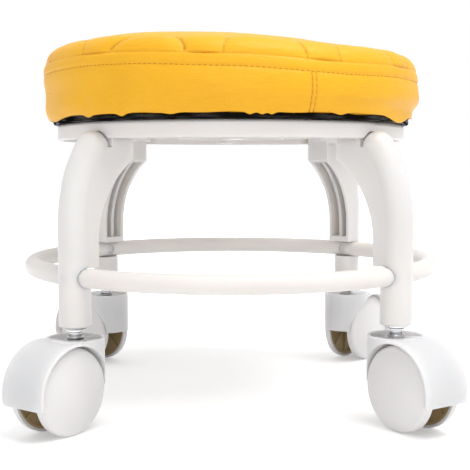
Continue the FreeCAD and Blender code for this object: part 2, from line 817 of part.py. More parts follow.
slot_tube = "(ring_tube + 2 * ring_fit)"
slot_bend = hoop("slot_bend", "ring_radius", slot_tube, ("0", "0", "ring_height"))
slot_mouth = block(
    "slot_mouth",
    ("ring_radius - web_edge_radius + overrun", "2 * leg_width", slot_tube),
    ("web_edge_radius - overrun", "-leg_width", f"ring_height - {slot_tube} / 2"),
)
socket_bore = rod("socket_bore", "stem_diameter + 2 * stem_socket_wall + 2 * seat_fit",
                  "stem_socket_depth + overrun", ("leg_spread", "0", "leg_foot - overrun"))
ring_screw_end = "(ring_radius + ring_tube / 2 + ring_screw_bite)"
ring_pilot = rod("ring_pilot", "ring_screw_diameter + 2 * seat_fit", f"{ring_screw_end} - ring_radius",
                 ("ring_radius", "0", "ring_height"), "X")
pilot_low = "plate_top - leg_screw_length - seat_fit"
head_pilots = [rod(f"head_pilot_{number}", "leg_screw_diameter + 2 * seat_fit", "leg_screw_length + overrun",
                   (place, "0", pilot_low)) for number, place in enumerate(screw_places)]
foot_bevel = turned("foot_bevel", [
    ("leg_width / 2 - leg_edge - overrun", "leg_foot - overrun"),
    ("leg_width / 2 + overrun", "leg_foot - overrun"),
    ("leg_width / 2 + overrun", "leg_foot + leg_edge + overrun"),
])
put(foot_bevel, ("leg_spread", "0", "0"))
leg_tools = joined("leg_tools", [slot_bend, slot_mouth, socket_bore, ring_pilot, foot_bevel, *head_pilots])
leg = cut("leg", leg_blank, leg_tools)

# Foot ring: one round hoop in the slots of the legs, with a counterbored hole for a screw at each leg
ring_axis = (("0", "ring_height"), ("ring_radius", "ring_height"))
ring_screw_seat_radius = "(ring_radius - ring_tube / 2 + ring_screw_sink)"


def ring_screw_set(name, gap, head_length, end):
    """Screws from inside the ring out into the legs, or their holes, wider by a gap."""
    head_start = f"{ring_screw_seat_radius} - {head_length}"
    rows = [
        (head_start, "0"),
        (head_start, f"ring_screw_head / 2 + {gap}"),
        (ring_screw_seat_radius, f"ring_screw_head / 2 + {gap}"),
        (ring_screw_seat_radius, f"ring_screw_diameter / 2 + {gap}"),
        (end, f"ring_screw_diameter / 2 + {gap}"),
        (end, "0"),
    ]
    screws = turned_set(name, *ring_axis, [(x, f"ring_height + {z}") for x, z in rows], "leg_count")
    return put(screws, turn="first_leg_turn")


ring_holes = ring_screw_set("ring_holes", "seat_fit", "overrun", "(ring_radius + ring_tube)")
ring_bar = hoop("ring_bar", "ring_radius", "ring_tube", ("0", "0", "ring_height"))
finish(cut("foot_ring", ring_bar, ring_holes), "foot_ring")
finish(ring_screw_set("ring_screws", "0", "ring_screw_head_height", ring_screw_end), "ring_screws")

# Stem sockets: plain sleeves in the leg posts, and the stems that stand in them, with collars and a clip below
socket = turned("socket", [
    ("stem_diameter / 2 + seat_fit", "leg_foot"),
    ("stem_diameter / 2 + stem_socket_wall", "leg_foot"),
    ("stem_diameter / 2 + stem_socket_wall", "leg_foot + stem_socket_depth - seat_fit"),
    ("stem_diameter / 2 + seat_fit", "leg_foot + stem_socket_depth - seat_fit"),
])
collar_low = "(leg_foot - stem_collar_height)"
groove_top = "(boss_bottom - side_play)"
groove_low = f"({groove_top} - clip_thickness - 2 * seat_fit)"
groove_radius = "(stem_pivot / 2 - clip_groove_depth)"
washer_top = f"({collar_low} - stem_washer_gap)"
washer_low = f"({washer_top} - stem_washer_height)"
flange_low = "(boss_top + side_play)"
flange_top = f"({flange_low} + stem_flange_height)"
stem = turned("stem", [
    ("0", "leg_foot + stem_length"),
    ("stem_diameter / 2 - stem_point", "leg_foot + stem_length"),
    ("stem_diameter / 2", "leg_foot + stem_length - stem_point"),
    ("stem_diameter / 2", "leg_foot"),
    ("stem_collar / 2", "leg_foot"),
    ("stem_collar / 2", collar_low),
    ("stem_neck / 2", collar_low),
    ("stem_neck / 2", washer_top),
    ("stem_washer / 2", washer_top),
    ("stem_washer / 2", washer_low),
    ("stem_neck / 2", washer_low),
    ("stem_neck / 2", flange_top),
    ("stem_flange / 2", flange_top),
    ("stem_flange / 2", flange_low),
    ("stem_pivot / 2", flange_low),
    ("stem_pivot / 2", groove_top),
    (groove_radius, groove_top),
    (groove_radius, groove_low),
    ("stem_pivot / 2", groove_low),
    ("stem_pivot / 2", "stem_tip + stem_point"),
    ("stem_pivot / 2 - stem_point", "stem_tip"),
    ("0", "stem_tip"),
])
clip = turned("clip", [
    (f"{groove_radius} + seat_fit", f"{groove_low} + seat_fit"),
    ("clip_width / 2", f"{groove_low} + seat_fit"),
    ("clip_width / 2", f"{groove_top} - seat_fit"),
    (f"{groove_radius} + seat_fit", f"{groove_top} - seat_fit"),
])

# Caster hood: a cup round the stem and a fender over the wheels, with a fork plate between them for the axle
def turned_on_axle(name, side, rows, bulges=None):
    """A body turned about the axle's line, from radii and places out from the caster's middle."""
    body = new_body(name)
    sketch = new_sketch(body, f"{name}_outline", "XY_Plane")
    bind(sketch, "AttachmentOffset.Base.z", "wheel_radius")
    line = axis_line(sketch, ("axle_setback", "0"), ("axle_setback", f"{side}wheel_dome_face"))
    corners = [(f"axle_setback + {x}", f"{side}({y})") for x, y in rows]
    draw(sketch, corners, bulges, line, "axle_setback")
    turn_feature(body, sketch, f"{name}_turn", "Axis0")
    return body, sketch


hood_slant = f"hood_edge * {round_share}"
fender_round, fender_sketch = turned_on_axle("fender_round", "", [
    ("0", "-hood_half_width"),
    ("hood_radius - hood_edge", "-hood_half_width"),
    ("hood_radius", "hood_edge - hood_half_width"),
    ("hood_radius", "hood_half_width - hood_edge"),
    ("hood_radius - hood_edge", "hood_half_width"),
    ("0", "hood_half_width"),
], {
    1: (f"axle_setback + hood_radius - {hood_slant}", f"{hood_slant} - hood_half_width"),
    3: (f"axle_setback + hood_radius - {hood_slant}", f"hood_half_width - {hood_slant}"),
})
fender_side = new_body("fender_side")
fender_side_sketch = new_sketch(fender_side, "fender_side_outline", "YZ_Plane")
corner_slant = f"hood_corner * {round_share}"
draw(fender_side_sketch, [
    ("-hood_half_width", "hood_trailing_edge + 2 * hood_radius"),
    ("-hood_half_width", "hood_trailing_edge + hood_corner"),
    ("hood_corner - hood_half_width", "hood_trailing_edge"),
    ("hood_half_width - hood_corner", "hood_trailing_edge"),
    ("hood_half_width", "hood_trailing_edge + hood_corner"),
    ("hood_half_width", "hood_trailing_edge + 2 * hood_radius"),
], {
    1: (f"{corner_slant} - hood_half_width", f"hood_trailing_edge + {corner_slant}"),
    3: (f"hood_half_width - {corner_slant}", f"hood_trailing_edge + {corner_slant}"),
})
fender_reach = "axle_setback + hood_radius + overrun"
pad_feature(fender_side, fender_side_sketch, "fender_side_pad", fender_reach, symmetric=False)
cup = rod("cup", "2 * cup_radius", "cup_top - wheel_radius", ("0", "0", "wheel_radius"))
hood_outside = joined("hood_outside", [shared("fender", [fender_round, fender_side]), cup])

stem_boss = rod("stem_boss", "2 * boss_radius", "boss_top - boss_bottom", ("0", "0", "boss_bottom"))
cup_ribs = new_body("cup_ribs")
cup_rib_sketch = new_sketch(cup_ribs, "cup_rib_outline")
draw(cup_rib_sketch, [
    ("0", "boss_bottom"),
    ("cup_radius", "boss_bottom"),
    ("cup_radius", "boss_top"),
    ("0", "boss_top"),
])
repeat(cup_ribs, pad_feature(cup_ribs, cup_rib_sketch, "cup_rib", "cup_rib"), "cup_rib_set", "cup_rib_count")
recess_round = rod("recess_round", "2 * (cup_radius - cup_wall)", "cup_top - boss_bottom + overrun",
                   ("0", "0", "boss_bottom"))
recess = cut("recess", recess_round, joined("recess_keep", [fender_round, stem_boss, cup_ribs]))

wide = "(2 * hood_half_width + 2 * overrun)"
beside = "(-hood_half_width - overrun)"
well_round = rod("well_round", "2 * well_radius", wide, ("axle_setback", beside, "wheel_radius"), "Y")
fork = padded("fork", [
    ("0", "boss_bottom"),
    ("boss_radius", "boss_bottom"),
    ("axle_setback - axle_boss / 2", "wheel_radius"),
    ("axle_setback + axle_boss / 2", "wheel_radius"),
    ("axle_setback + axle_boss / 2", "cup_top + overrun"),
    ("-boss_radius", "cup_top + overrun"),
    ("-boss_radius", "boss_bottom"),
], "fork_thickness")
axle_hub = rod("axle_hub", "axle_boss", "axle_boss_width",
               ("axle_setback", "-axle_boss_width / 2", "wheel_radius"), "Y")
well = cut("well", well_round, joined("well_keep", [fork, axle_hub, stem_boss]))
pivot_bore = rod("pivot_bore", "stem_pivot + 2 * running_fit", "cup_top - boss_bottom + 2 * overrun",
                 ("0", "0", "boss_bottom - overrun"))
axle_bore = rod("axle_bore", "axle_diameter + 2 * seat_fit", wide,
                ("axle_setback", beside, "wheel_radius"), "Y")
hood = cut("hood", hood_outside, joined("hood_tools", [recess, well, pivot_bore, axle_bore]))


# Axle and wheels: radii from the axle's line, and places out from the caster's middle
axle_end = "(core_hub_face + side_play)"
axle_tip = f"({axle_end} + axle_head_height)"
axle, axle_sketch = turned_on_axle("axle", "", [
    ("0", f"-{axle_tip}"),
    ("axle_head / 2", f"-{axle_tip}"),
    ("axle_head / 2", f"-{axle_end}"),
    ("axle_diameter / 2", f"-{axle_end}"),
    ("axle_diameter / 2", axle_end),
    ("axle_head / 2", axle_end),
    ("axle_head / 2", axle_tip),
    ("0", axle_tip),
])

shell_inside = "(wheel_radius - wheel_shell)"
core_outside = f"({shell_inside} - seat_fit)"
core_rim_inside = f"({core_outside} - core_rim)"
core_hub_start = "(axle_boss_width / 2 + side_play)"
core_floor = "(core_disc_face - core_disc)"
core_bore = "(axle_diameter / 2 + running_fit)"
shell_corner = "(core_disc_face + side_play)"


def wheel_shell(name, side):
    """The white cover of a wheel: a tread and a domed face, open towards the middle of the caster."""
    edge_round = f"wheel_edge * {round_share}"
    shell_middle = "(wheel_dome_face - wheel_shell)"
    rows = [
        ("wheel_radius", "wheel_inner_face"),
        ("wheel_radius", "wheel_rim_face - wheel_edge"),
        ("wheel_radius - wheel_edge", "wheel_rim_face"),
        ("0", "wheel_dome_face"),
        ("0", shell_middle),
        (shell_inside, shell_corner),
        (shell_inside, "wheel_inner_face"),
    ]
    edge_point = (f"axle_setback + wheel_radius - {edge_round}", f"{side}(wheel_rim_face - {edge_round})")
    body, sketch = turned_on_axle(name, side, rows, {1: edge_point, 2: "axis", 4: "axis"})
    return body


def wheel_core(name, side):
    """The tan hub, disc, spokes and rim that a wheel's cover is pressed on, running on the axle."""
    body, sketch = turned_on_axle(name, side, [
        (core_bore, core_hub_start),
        ("core_hub / 2", core_hub_start),
        ("core_hub / 2", core_floor),
        (core_rim_inside, core_floor),
        (core_rim_inside, "wheel_inner_face + core_recess"),
        (core_outside, "wheel_inner_face + core_recess"),
        (core_outside, "core_disc_face"),
        ("core_hub / 2", "core_disc_face"),
        ("core_hub / 2", "core_hub_face"),
        (core_bore, "core_hub_face"),
    ])
    spoke_sketch = new_sketch(body, f"{name}_spoke_outline", "XY_Plane")
    bind(spoke_sketch, "AttachmentOffset.Base.z", "wheel_radius")
    spoke_start = f"(core_hub / 2 + {core_bore}) / 2"
    spoke_end = f"({core_rim_inside} + core_rim / 2)"
    spoke_face = "wheel_inner_face + core_recess + core_spoke_setback"
    spoke_back = "core_disc_face - core_disc / 2"
    draw(spoke_sketch, [(f"axle_setback + {x}", f"{side}({y})") for x, y in (
        (spoke_start, spoke_face),
        (spoke_end, spoke_face),
        (spoke_end, spoke_back),
        (spoke_start, spoke_back),
    )])
    spoke = pad_feature(body, spoke_sketch, f"{name}_spoke", "core_spoke")
    repeat(body, spoke, f"{name}_spokes", "core_spoke_count", (sketch, ["Axis0"]))
    return body


wheel_sides = {"left": "", "right": "-"}
shells = {hand: wheel_shell(f"shell_{hand}", side) for hand, side in wheel_sides.items()}
cores = {hand: wheel_core(f"core_{hand}", side) for hand, side in wheel_sides.items()}

# The four corners, in turn from the rear right: a leg, a socket, a stem with its clip and a caster at each
corners = ("rear_right", "rear_left", "front_left", "front_right")
for number, corner in enumerate(corners):
    leg_turn = f"(first_leg_turn + {full_turn} / leg_count * {number})"
    stem_place = (f"leg_spread * cos({leg_turn})", f"leg_spread * sin({leg_turn})", "0")
    heading = f"{corner}_turn"
    put(copy_of(leg, f"{corner}_leg"), turn=leg_turn)
    put(copy_of(socket, f"{corner}_stem_socket"), stem_place, turn=heading)
    put(copy_of(stem, f"{corner}_caster_stem"), stem_place, turn=heading)
    put(copy_of(clip, f"{corner}_stem_clip"), stem_place, turn=heading)
    put(copy_of(hood, f"{corner}_caster_hood"), stem_place, turn=heading)
    put(copy_of(axle, f"{corner}_caster_axle"), stem_place, turn=heading)
    for hand in wheel_sides:
        put(copy_of(shells[hand], f"{corner}_{hand}_wheel_shell"), stem_place, turn=heading)
        put(copy_of(cores[hand], f"{corner}_{hand}_wheel_core"), stem_place, turn=heading)

doc.recompute()

# Every object has to be sound before anything is written
for thing in doc.Objects:
    if {"Invalid", "Error"} & set(thing.State):
        raise RuntimeError(f"{thing.Label} failed: {thing.State}")
for thing in finished:
    if thing.Shape.isNull() or not thing.Shape.isValid() or not thing.Shape.Solids:
        raise RuntimeError(f"{thing.Label} has no sound solid")

os.makedirs("parts", exist_ok=True)
for thing in finished:
    thing.Shape.exportStep(f"parts/{thing.Label}.step")
    print(thing.Label, len(thing.Shape.Solids), round(thing.Shape.Volume))
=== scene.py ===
import math

import bpy
import numpy as np
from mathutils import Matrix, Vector, kdtree


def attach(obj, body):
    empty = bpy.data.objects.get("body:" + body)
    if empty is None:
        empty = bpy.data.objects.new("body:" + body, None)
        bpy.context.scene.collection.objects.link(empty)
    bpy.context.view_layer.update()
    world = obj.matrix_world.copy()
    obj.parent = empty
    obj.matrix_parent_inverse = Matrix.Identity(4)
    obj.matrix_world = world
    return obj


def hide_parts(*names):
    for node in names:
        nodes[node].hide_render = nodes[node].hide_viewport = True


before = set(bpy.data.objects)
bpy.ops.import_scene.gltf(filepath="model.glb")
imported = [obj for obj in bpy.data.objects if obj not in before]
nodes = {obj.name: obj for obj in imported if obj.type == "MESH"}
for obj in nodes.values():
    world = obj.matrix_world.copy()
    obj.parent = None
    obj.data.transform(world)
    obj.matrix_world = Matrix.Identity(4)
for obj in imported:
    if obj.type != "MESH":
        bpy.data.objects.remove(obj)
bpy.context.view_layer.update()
corners = ("rear_right", "rear_left", "front_left", "front_right")

# Wheel cores and stem sockets: the insides of the casters and the sleeves in the legs, moulded in dull,
# slightly mottled nylon, in a tan that is partly the nylon's own cream colour and partly painted shade of the
# hollows; the cores turn on the axles inside the white shells, and the sleeves are pressed in.


def add_node(tree, kind, place, values=None, **settings):
    """One node of a shader or geometry tree, with its plain settings and the values of its sockets."""
    node = tree.nodes.new(kind)
    node.location = place
    for key, setting in settings.items():
        setattr(node, key, setting)
    for socket, value in (values or {}).items():
        node.inputs[socket].default_value = value
    return node


def wire(tree, *wires):
    """Joins sockets: each wire names the node and socket it comes from, and those it goes to."""
    for source, output, target, entry in wires:
        tree.links.new(source.outputs[output], target.inputs[entry])


def finish_material(name, roughness, metallic=0.0):
    """A node material whose plain values sit on the shader itself."""
    material = bpy.data.materials.new(name)
    material.use_nodes = True
    shader = material.node_tree.nodes["Principled BSDF"]
    shader.inputs["Roughness"].default_value = roughness
    shader.inputs["Metallic"].default_value = metallic
    return material, material.node_tree, shader


def dress(names, material):
    """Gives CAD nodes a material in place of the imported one."""
    for name in names:
        nodes[name].data.materials.clear()
        nodes[name].data.materials.append(material)


def moulding_group():
    """Shared look of a moulded plastic: cloudy colour, uneven gloss, and a fine spark-eroded grain."""
    group = bpy.data.node_groups.new("moulding", "ShaderNodeTree")
    for socket, kind in (("Tint", "Color"), ("Shade", "Color"), ("Gloss", "Float"), ("Cloud Scale", "Float"),
                         ("Grain Scale", "Float")):
        group.interface.new_socket(socket, in_out="INPUT", socket_type=f"NodeSocket{kind}")
    for socket, kind in (("Color", "Color"), ("Roughness", "Float"), ("Height", "Float")):
        group.interface.new_socket(socket, in_out="OUTPUT", socket_type=f"NodeSocket{kind}")
    source = add_node(group, "NodeGroupInput", (-900, 0))
    result = add_node(group, "NodeGroupOutput", (500, 0))
    place = add_node(group, "ShaderNodeTexCoord", (-900, -300))
    cloud = add_node(group, "ShaderNodeTexNoise", (-600, 150), {"Detail": 5})
    grain = add_node(group, "ShaderNodeTexNoise", (-600, -250), {"Detail": 2})
    for texture, scale in ((cloud, "Cloud Scale"), (grain, "Grain Scale")):
        wire(group, (place, "Object", texture, "Vector"), (source, scale, texture, "Scale"))
    spread = add_node(group, "ShaderNodeMapRange", (-350, 250), {"From Min": 0.35, "From Max": 0.7})
    colour = add_node(group, "ShaderNodeMix", (-100, 250), data_type="RGBA")
    uneven = add_node(group, "ShaderNodeMath", (-350, -50), {1: 0.14}, operation="MULTIPLY_ADD")
    wire(group,
         (cloud, "Fac", spread, "Value"),
         (spread, "Result", colour, "Factor"),
         (source, "Tint", colour, "A"),
         (source, "Shade", colour, "B"),
         (cloud, "Fac", uneven, 0),
         (source, "Gloss", uneven, 2),
         (colour, "Result", result, "Color"),
         (uneven, "Value", result, "Roughness"),
         (grain, "Fac", result, "Height"))
    return group


moulding = moulding_group()


def plastic(name, tint, shade, gloss, grain_height, cloud_scale=28.0, glow=0.0):
    """A moulded plastic from the shared group; light goes a little way through its thin walls."""
    material, tree, shader = finish_material(name, gloss)
    shader.inputs["Subsurface Weight"].default_value = glow
    shader.inputs["Subsurface Radius"].default_value = (1.0, 0.9, 0.8)
    shader.inputs["Subsurface Scale"].default_value = 0.005
    look = add_node(tree, "ShaderNodeGroup", (-500, 100),
                    {"Tint": (*tint, 1), "Shade": (*shade, 1), "Gloss": gloss, "Cloud Scale": cloud_scale,
                     "Grain Scale": 1900.0}, node_tree=moulding)
    bump = add_node(tree, "ShaderNodeBump", (-250, -200), {"Strength": 0.5, "Distance": grain_height})
    wire(tree,
         (look, "Color", shader, "Base Color"),
         (look, "Roughness", shader, "Roughness"),
         (look, "Height", bump, "Height"),
         (bump, "Normal", shader, "Normal"))
    return material


# The tan base colour is partly the nylon's own cream and partly painted shade of the wheel and cup hollows.
tan_nylon = plastic("tan_nylon", (0.50, 0.365, 0.18), (0.38, 0.27, 0.125), 0.42, 0.00006)
hands = ("left", "right")
dress([f"{corner}_{hand}_wheel_core" for corner in corners for hand in hands], tan_nylon)
dress([f"{corner}_stem_socket" for corner in corners], tan_nylon)

# Axles, stems and clips: turned steel, zinc plated, pressed into the hoods or snapped into the sockets.
# Light and dark rings run round them along the turning marks: painted reflections of bright and dark
# surroundings.


def zinc_plate():
    """Bright metal with painted light and dark reflection rings round the upright axis."""
    material, tree, shader = finish_material("zinc_plate", 0.2, metallic=1.0)
    place = add_node(tree, "ShaderNodeTexCoord", (-1000, 0))
    rings = add_node(tree, "ShaderNodeMapping", (-800, -150), {"Scale": (40, 40, 1100)})
    turning_and_reflection_marks = add_node(tree, "ShaderNodeTexNoise", (-600, -150), {"Scale": 1.0})
    # Painted reflections: the noise rings switch the base colour between a light and a dark metal, in place
    # of mirrored surroundings.
    reflection_bands = add_node(tree, "ShaderNodeMapRange", (-450, 150), {"From Min": 0.4, "From Max": 0.62})
    tint = add_node(tree, "ShaderNodeMix", (-300, 150),
                    {"A": (0.74, 0.75, 0.77, 1), "B": (0.16, 0.165, 0.17, 1)}, data_type="RGBA")
    gloss = add_node(tree, "ShaderNodeMapRange", (-300, -50), {"To Min": 0.1, "To Max": 0.28})
    bump = add_node(tree, "ShaderNodeBump", (-300, -300), {"Strength": 0.4, "Distance": 0.00004})
    wire(tree,
         (place, "Object", rings, "Vector"),
         (rings, "Vector", turning_and_reflection_marks, "Vector"),
         (turning_and_reflection_marks, "Fac", reflection_bands, "Value"),
         (reflection_bands, "Result", tint, "Factor"),
         (turning_and_reflection_marks, "Fac", gloss, "Value"),
         (turning_and_reflection_marks, "Fac", bump, "Height"),
         (tint, "Result", shader, "Base Color"),
         (gloss, "Result", shader, "Roughness"),
         (bump, "Normal", shader, "Normal"))
    return material


zinc = zinc_plate()
metal_pieces = ("caster_axle", "caster_stem", "stem_clip")
dress([f"{corner}_{piece}" for corner in corners for piece in metal_pieces], zinc)

# Wheel shells: hard white plastic with a domed face and a plain tread, pressed over the tan cores.
# The hoods, which carry the axles and cover both wheels, are moulded in a slightly cooler, glossier white.
wheel_white = plastic("wheel_white", (0.82, 0.80, 0.80), (0.79, 0.775, 0.77), 0.26, 0.00002)
dress([f"{corner}_{hand}_wheel_shell" for corner in corners for hand in hands], wheel_white)
hood_white = plastic("hood_white", (0.785, 0.778, 0.785), (0.76, 0.752, 0.758), 0.24, 0.00002, glow=0.8)
dress([f"{corner}_caster_hood" for corner in corners], hood_white)

# Legs and foot ring: warm white polypropylene mouldings with a satin skin.
# Each leg is an open channel behind, and the ring is a closed hoop that lies in slots in the legs.
leg_white = plastic("leg_white", (0.85, 0.82, 0.80), (0.82, 0.79, 0.77), 0.3, 0.00003,
                    cloud_scale=18.0, glow=0.9)
dress([f"{corner}_leg" for corner in corners] + ["ring_screws"], leg_white)
ring_white = plastic("ring_white", (0.84, 0.81, 0.785), (0.81, 0.78, 0.755), 0.3, 0.00003,
                     cloud_scale=18.0, glow=0.8)
dress(["foot_ring"], ring_white)

# Seat plate: the same white moulding, with a downturned rim, screwed to the heads of the legs from above.
# The screws, and the bolts, tee nuts and staples of the seat, are zinc plated steel.
plate_white = plastic("plate_white", (0.83, 0.80, 0.785), (0.80, 0.77, 0.755), 0.3, 0.00003,
                      cloud_scale=14.0, glow=0.4)
dress(["seat_plate"], plate_white)
dress(["leg_screws", "seat_bolts", "seat_tee_nuts", "cover_staples"], zinc)

# Seat board: a disc of raw plywood under the foam, with layers that show on its edge.
# Bolts hold it to the plate, and the cover is stapled to its underside.


def plywood():
    """Raw wood with a long grain and thin layers."""
    material, tree, shader = finish_material("plywood", 0.7)
    place = add_node(tree, "ShaderNodeTexCoord", (-1000, 0))
    grain_way = add_node(tree, "ShaderNodeMapping", (-800, 100), {"Scale": (8, 160, 700)})
    grain = add_node(tree, "ShaderNodeTexNoise", (-600, 100), {"Scale": 1.0, "Detail": 6})
    tint = add_node(tree, "ShaderNodeMix", (-300, 100),
                    {"A": (0.55, 0.36, 0.19, 1), "B": (0.36, 0.21, 0.10, 1)}, data_type="RGBA")
    bump = add_node(tree, "ShaderNodeBump", (-300, -200), {"Distance": 0.0002})
    wire(tree,
         (place, "Object", grain_way, "Vector"),
         (grain_way, "Vector", grain, "Vector"),
         (grain, "Fac", tint, "Factor"),
         (grain, "Fac", bump, "Height"),
         (tint, "Result", shader, "Base Color"),
         (bump, "Normal", shader, "Normal"))
    return material


dress(["seat_board"], plywood())

# Dust cover: thin black non-woven cloth, drawn over the hem of the leather and turned up round the edge.
# It shows as a dark, slightly crumpled band between the seat and the plate.
MM = 0.001


def grid_mesh(name, rows, closed_rows=False):
    """A mesh of rings of points: rows is an array of rings, each of points in millimetres."""
    count_rows, count_turns = rows.shape[:2]
    points = rows.reshape(-1, 3) * MM
    faces = []
    last = count_rows if closed_rows else count_rows - 1
    for row in range(last):
        below = (row + 1) % count_rows
        for turn in range(count_turns):
            after = (turn + 1) % count_turns
            faces.append((row * count_turns + turn, below * count_turns + turn,
                          below * count_turns + after, row * count_turns + after))
    mesh = bpy.data.meshes.new(name)
    mesh.from_pydata(points.tolist(), [], faces)
    return mesh


def place_mesh(name, mesh, material):
    """A smooth object of one material."""
    piece = bpy.data.objects.new(name, mesh)
    bpy.context.scene.collection.objects.link(piece)
    mesh.materials.clear()
    mesh.materials.append(material)
    mesh.shade_smooth()
    return piece


def waves(angles, parts):
    """A wavy line round the seat, from (times round, height, start) of each wave."""
    return sum(height * np.sin(times * angles + start) for times, height, start in parts)


def black_cloth():
    """Dark felted fibres with pressed dots, and folds that shine in places."""
    material, tree, shader = finish_material("black_cloth", 0.42)
    place = add_node(tree, "ShaderNodeTexCoord", (-1000, 0))
    fibre = add_node(tree, "ShaderNodeTexNoise", (-700, 100),
                     {"Scale": 900, "Detail": 4, "Distortion": 2.5})
    dots = add_node(tree, "ShaderNodeTexVoronoi", (-700, -200), {"Scale": 620})
    tint = add_node(tree, "ShaderNodeMix", (-350, 100),
                    {"A": (0.003, 0.003, 0.003, 1), "B": (0.014, 0.013, 0.012, 1)}, data_type="RGBA")
    height = add_node(tree, "ShaderNodeMath", (-350, -150), operation="ADD")
    bump = add_node(tree, "ShaderNodeBump", (-150, -200), {"Distance": 0.0003})
    crumple_way = add_node(tree, "ShaderNodeMapping", (-900, -450), {"Scale": (45, 45, 420)})
    crumple = add_node(tree, "ShaderNodeTexNoise", (-700, -450), {"Scale": 1.0, "Detail": 2})
    folds = add_node(tree, "ShaderNodeBump", (-350, -400), {"Strength": 0.9, "Distance": 0.004})
    shine = add_node(tree, "ShaderNodeMapRange", (-350, 350),
                     {"From Min": 0.45, "From Max": 0.65, "To Min": 0.0, "To Max": 0.3})
    wire(tree,
         (place, "Object", crumple_way, "Vector"),
         (crumple_way, "Vector", crumple, "Vector"),
         (crumple, "Fac", folds, "Height"),
         (folds, "Normal", bump, "Normal"),
         (crumple, "Fac", shine, "Value"),
         (shine, "Result", shader, "Specular IOR Level"),
         (place, "Object", fibre, "Vector"),
         (place, "Object", dots, "Vector"),
         (fibre, "Fac", tint, "Factor"),
         (fibre, "Fac", height, 0),
         (dots, "Distance", height, 1),
         (height, "Value", bump, "Height"),
         (tint, "Result", shader, "Base Color"),
         (bump, "Normal", shader, "Normal"))
    return material


def dust_cover_mesh():
    """A thin round sheet whose rim turns up, as one closed skin with both faces."""
    cloth_low, cloth_top, cloth_thick = 178.73, 182.2, 0.42
    rim_radius, hole_radius = 116.82, 70.0
    angles = np.linspace(0, 2 * np.pi, 360, endpoint=False)
    crumple = waves(angles, ((23, 0.14, 0.4), (41, 0.11, 1.9), (67, 0.09, 0.8)))
    edge = waves(angles, ((17, 0.25, 1.1), (31, 0.2, 2.2)))
    # Down the outside, across under the board, and back up the inside
    outline = [(rim_radius + cloth_thick, share) for share in np.linspace(1, 0.12, 6)]
    outline += [(rim_radius + cloth_thick - 0.4, 0.0), (hole_radius, 0.0)]
    inner = [(hole_radius, None), (rim_radius - 0.5, None)]
    inner += [(rim_radius, share) for share in np.linspace(0.16, 1, 6)]
    rings = []
    for radius, share in outline:
        height = cloth_low + share * (cloth_top - cloth_low + edge * share)
        rings.append((radius + crumple * (radius > rim_radius) * math.sin(math.pi * share), height))
    for radius, share in inner:
        height = (cloth_low + cloth_thick if share is None
                  else cloth_low + share * (cloth_top - cloth_low + edge * share))
        bend = 0.0 if share is None else math.sin(math.pi * share)
        rings.append((radius + crumple * bend, height))
    rows = np.array([np.stack([radius * np.cos(angles), radius * np.sin(angles), height + 0 * angles], 1)
                     for radius, height in rings])
    return grid_mesh("dust_cloth", rows, closed_rows=True)


dust_cloth = place_mesh("dust_cloth", dust_cover_mesh(), black_cloth())
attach(dust_cloth, "stool_frame")
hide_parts("dust_cover")

# Cushion: yellow synthetic leather over foam, sewn from a crowned top panel and a side band.
# Eleven sewn scallops run round the top, a row of stitches follows its edge, the hem goes under the board.
SEAT_TOP, CROWN_RADIUS, CROWN_HEIGHT = 235.0, 110.0, 224.6
SEAM_HEIGHT, STITCH_HEIGHT, HEM_HEIGHT = 214.2, 207.3, 182.5
SEAM_RADIUS, STITCH_RADIUS, HEM_RADIUS = 121.9, 123.2, 120.8
# Rows further out than this are past the crown; further out than the lining, they belong to the side
PAST_CROWN, LINING_RADIUS = 112, 117.5
# The side ends at this height, where the hem turns in
SIDE_LOW = 181
SCALLOP_COUNT, SCALLOP_START, SCALLOP_HALF = 11, 15.4, 24.0
# How far each scallop runs up from the seam, and how far it leans to one side on the way
SCALLOP_RISES = (30, 28, 32, 29, 31, 28, 26, 20, 34, 34, 30)
SCALLOP_LEANS = (0, 0.1, 0, -0.1, 0, 0.1, 0, 0.2, 0, -0.1, 0)
# How round the scallops are: two makes them half ellipses, less gives straighter sides
SCALLOP_ROUND = 1.5
# How hard each scallop draws the cover in
SCALLOP_DEPTHS = (0.7, 0.8, 0.7, 0.9, 0.7, 0.8, 0.35, 1.1, 0.6, 0.5, 0.5)
# The upright joint of the side band: its two grooves in degrees, their widths, and the girth in one degree
JOINT_TURNS, JOINT_WIDTHS, DEGREE_LENGTH = (289.3, 290.5), (0.6, 0.8), 2.17


def arc_points(first, through, last, count, crowd=1.0):
    """Points on the arc through three points of the seat's outline; they may crowd towards its end."""
    (ax, ay), (bx, by), (cx, cy) = first, through, last
    twice = 2 * (ax * (by - cy) + bx * (cy - ay) + cx * (ay - by))
    ux = ((ax**2 + ay**2) * (by - cy) + (bx**2 + by**2) * (cy - ay) + (cx**2 + cy**2) * (ay - by)) / twice
    uy = ((ax**2 + ay**2) * (cx - bx) + (bx**2 + by**2) * (ax - cx) + (cx**2 + cy**2) * (bx - ax)) / twice
    radius = math.hypot(ax - ux, ay - uy)
    start = math.atan2(ay - uy, ax - ux)
    stop = math.atan2(cy - uy, cx - ux)
    stop = start + (stop - start + math.pi) % (2 * math.pi) - math.pi
    turns = stop + (start - stop) * np.linspace(1, 0, count)**crowd
    return np.stack([ux + radius * np.cos(turns), uy + radius * np.sin(turns)], 1)


def crown_height(radius):
    """Height of the crown, a shallow dome, at a distance from the middle."""
    rise = SEAT_TOP - CROWN_HEIGHT
    dome = (CROWN_RADIUS**2 + rise**2) / (2 * rise)
    return SEAT_TOP - dome + np.sqrt(dome**2 - radius**2)


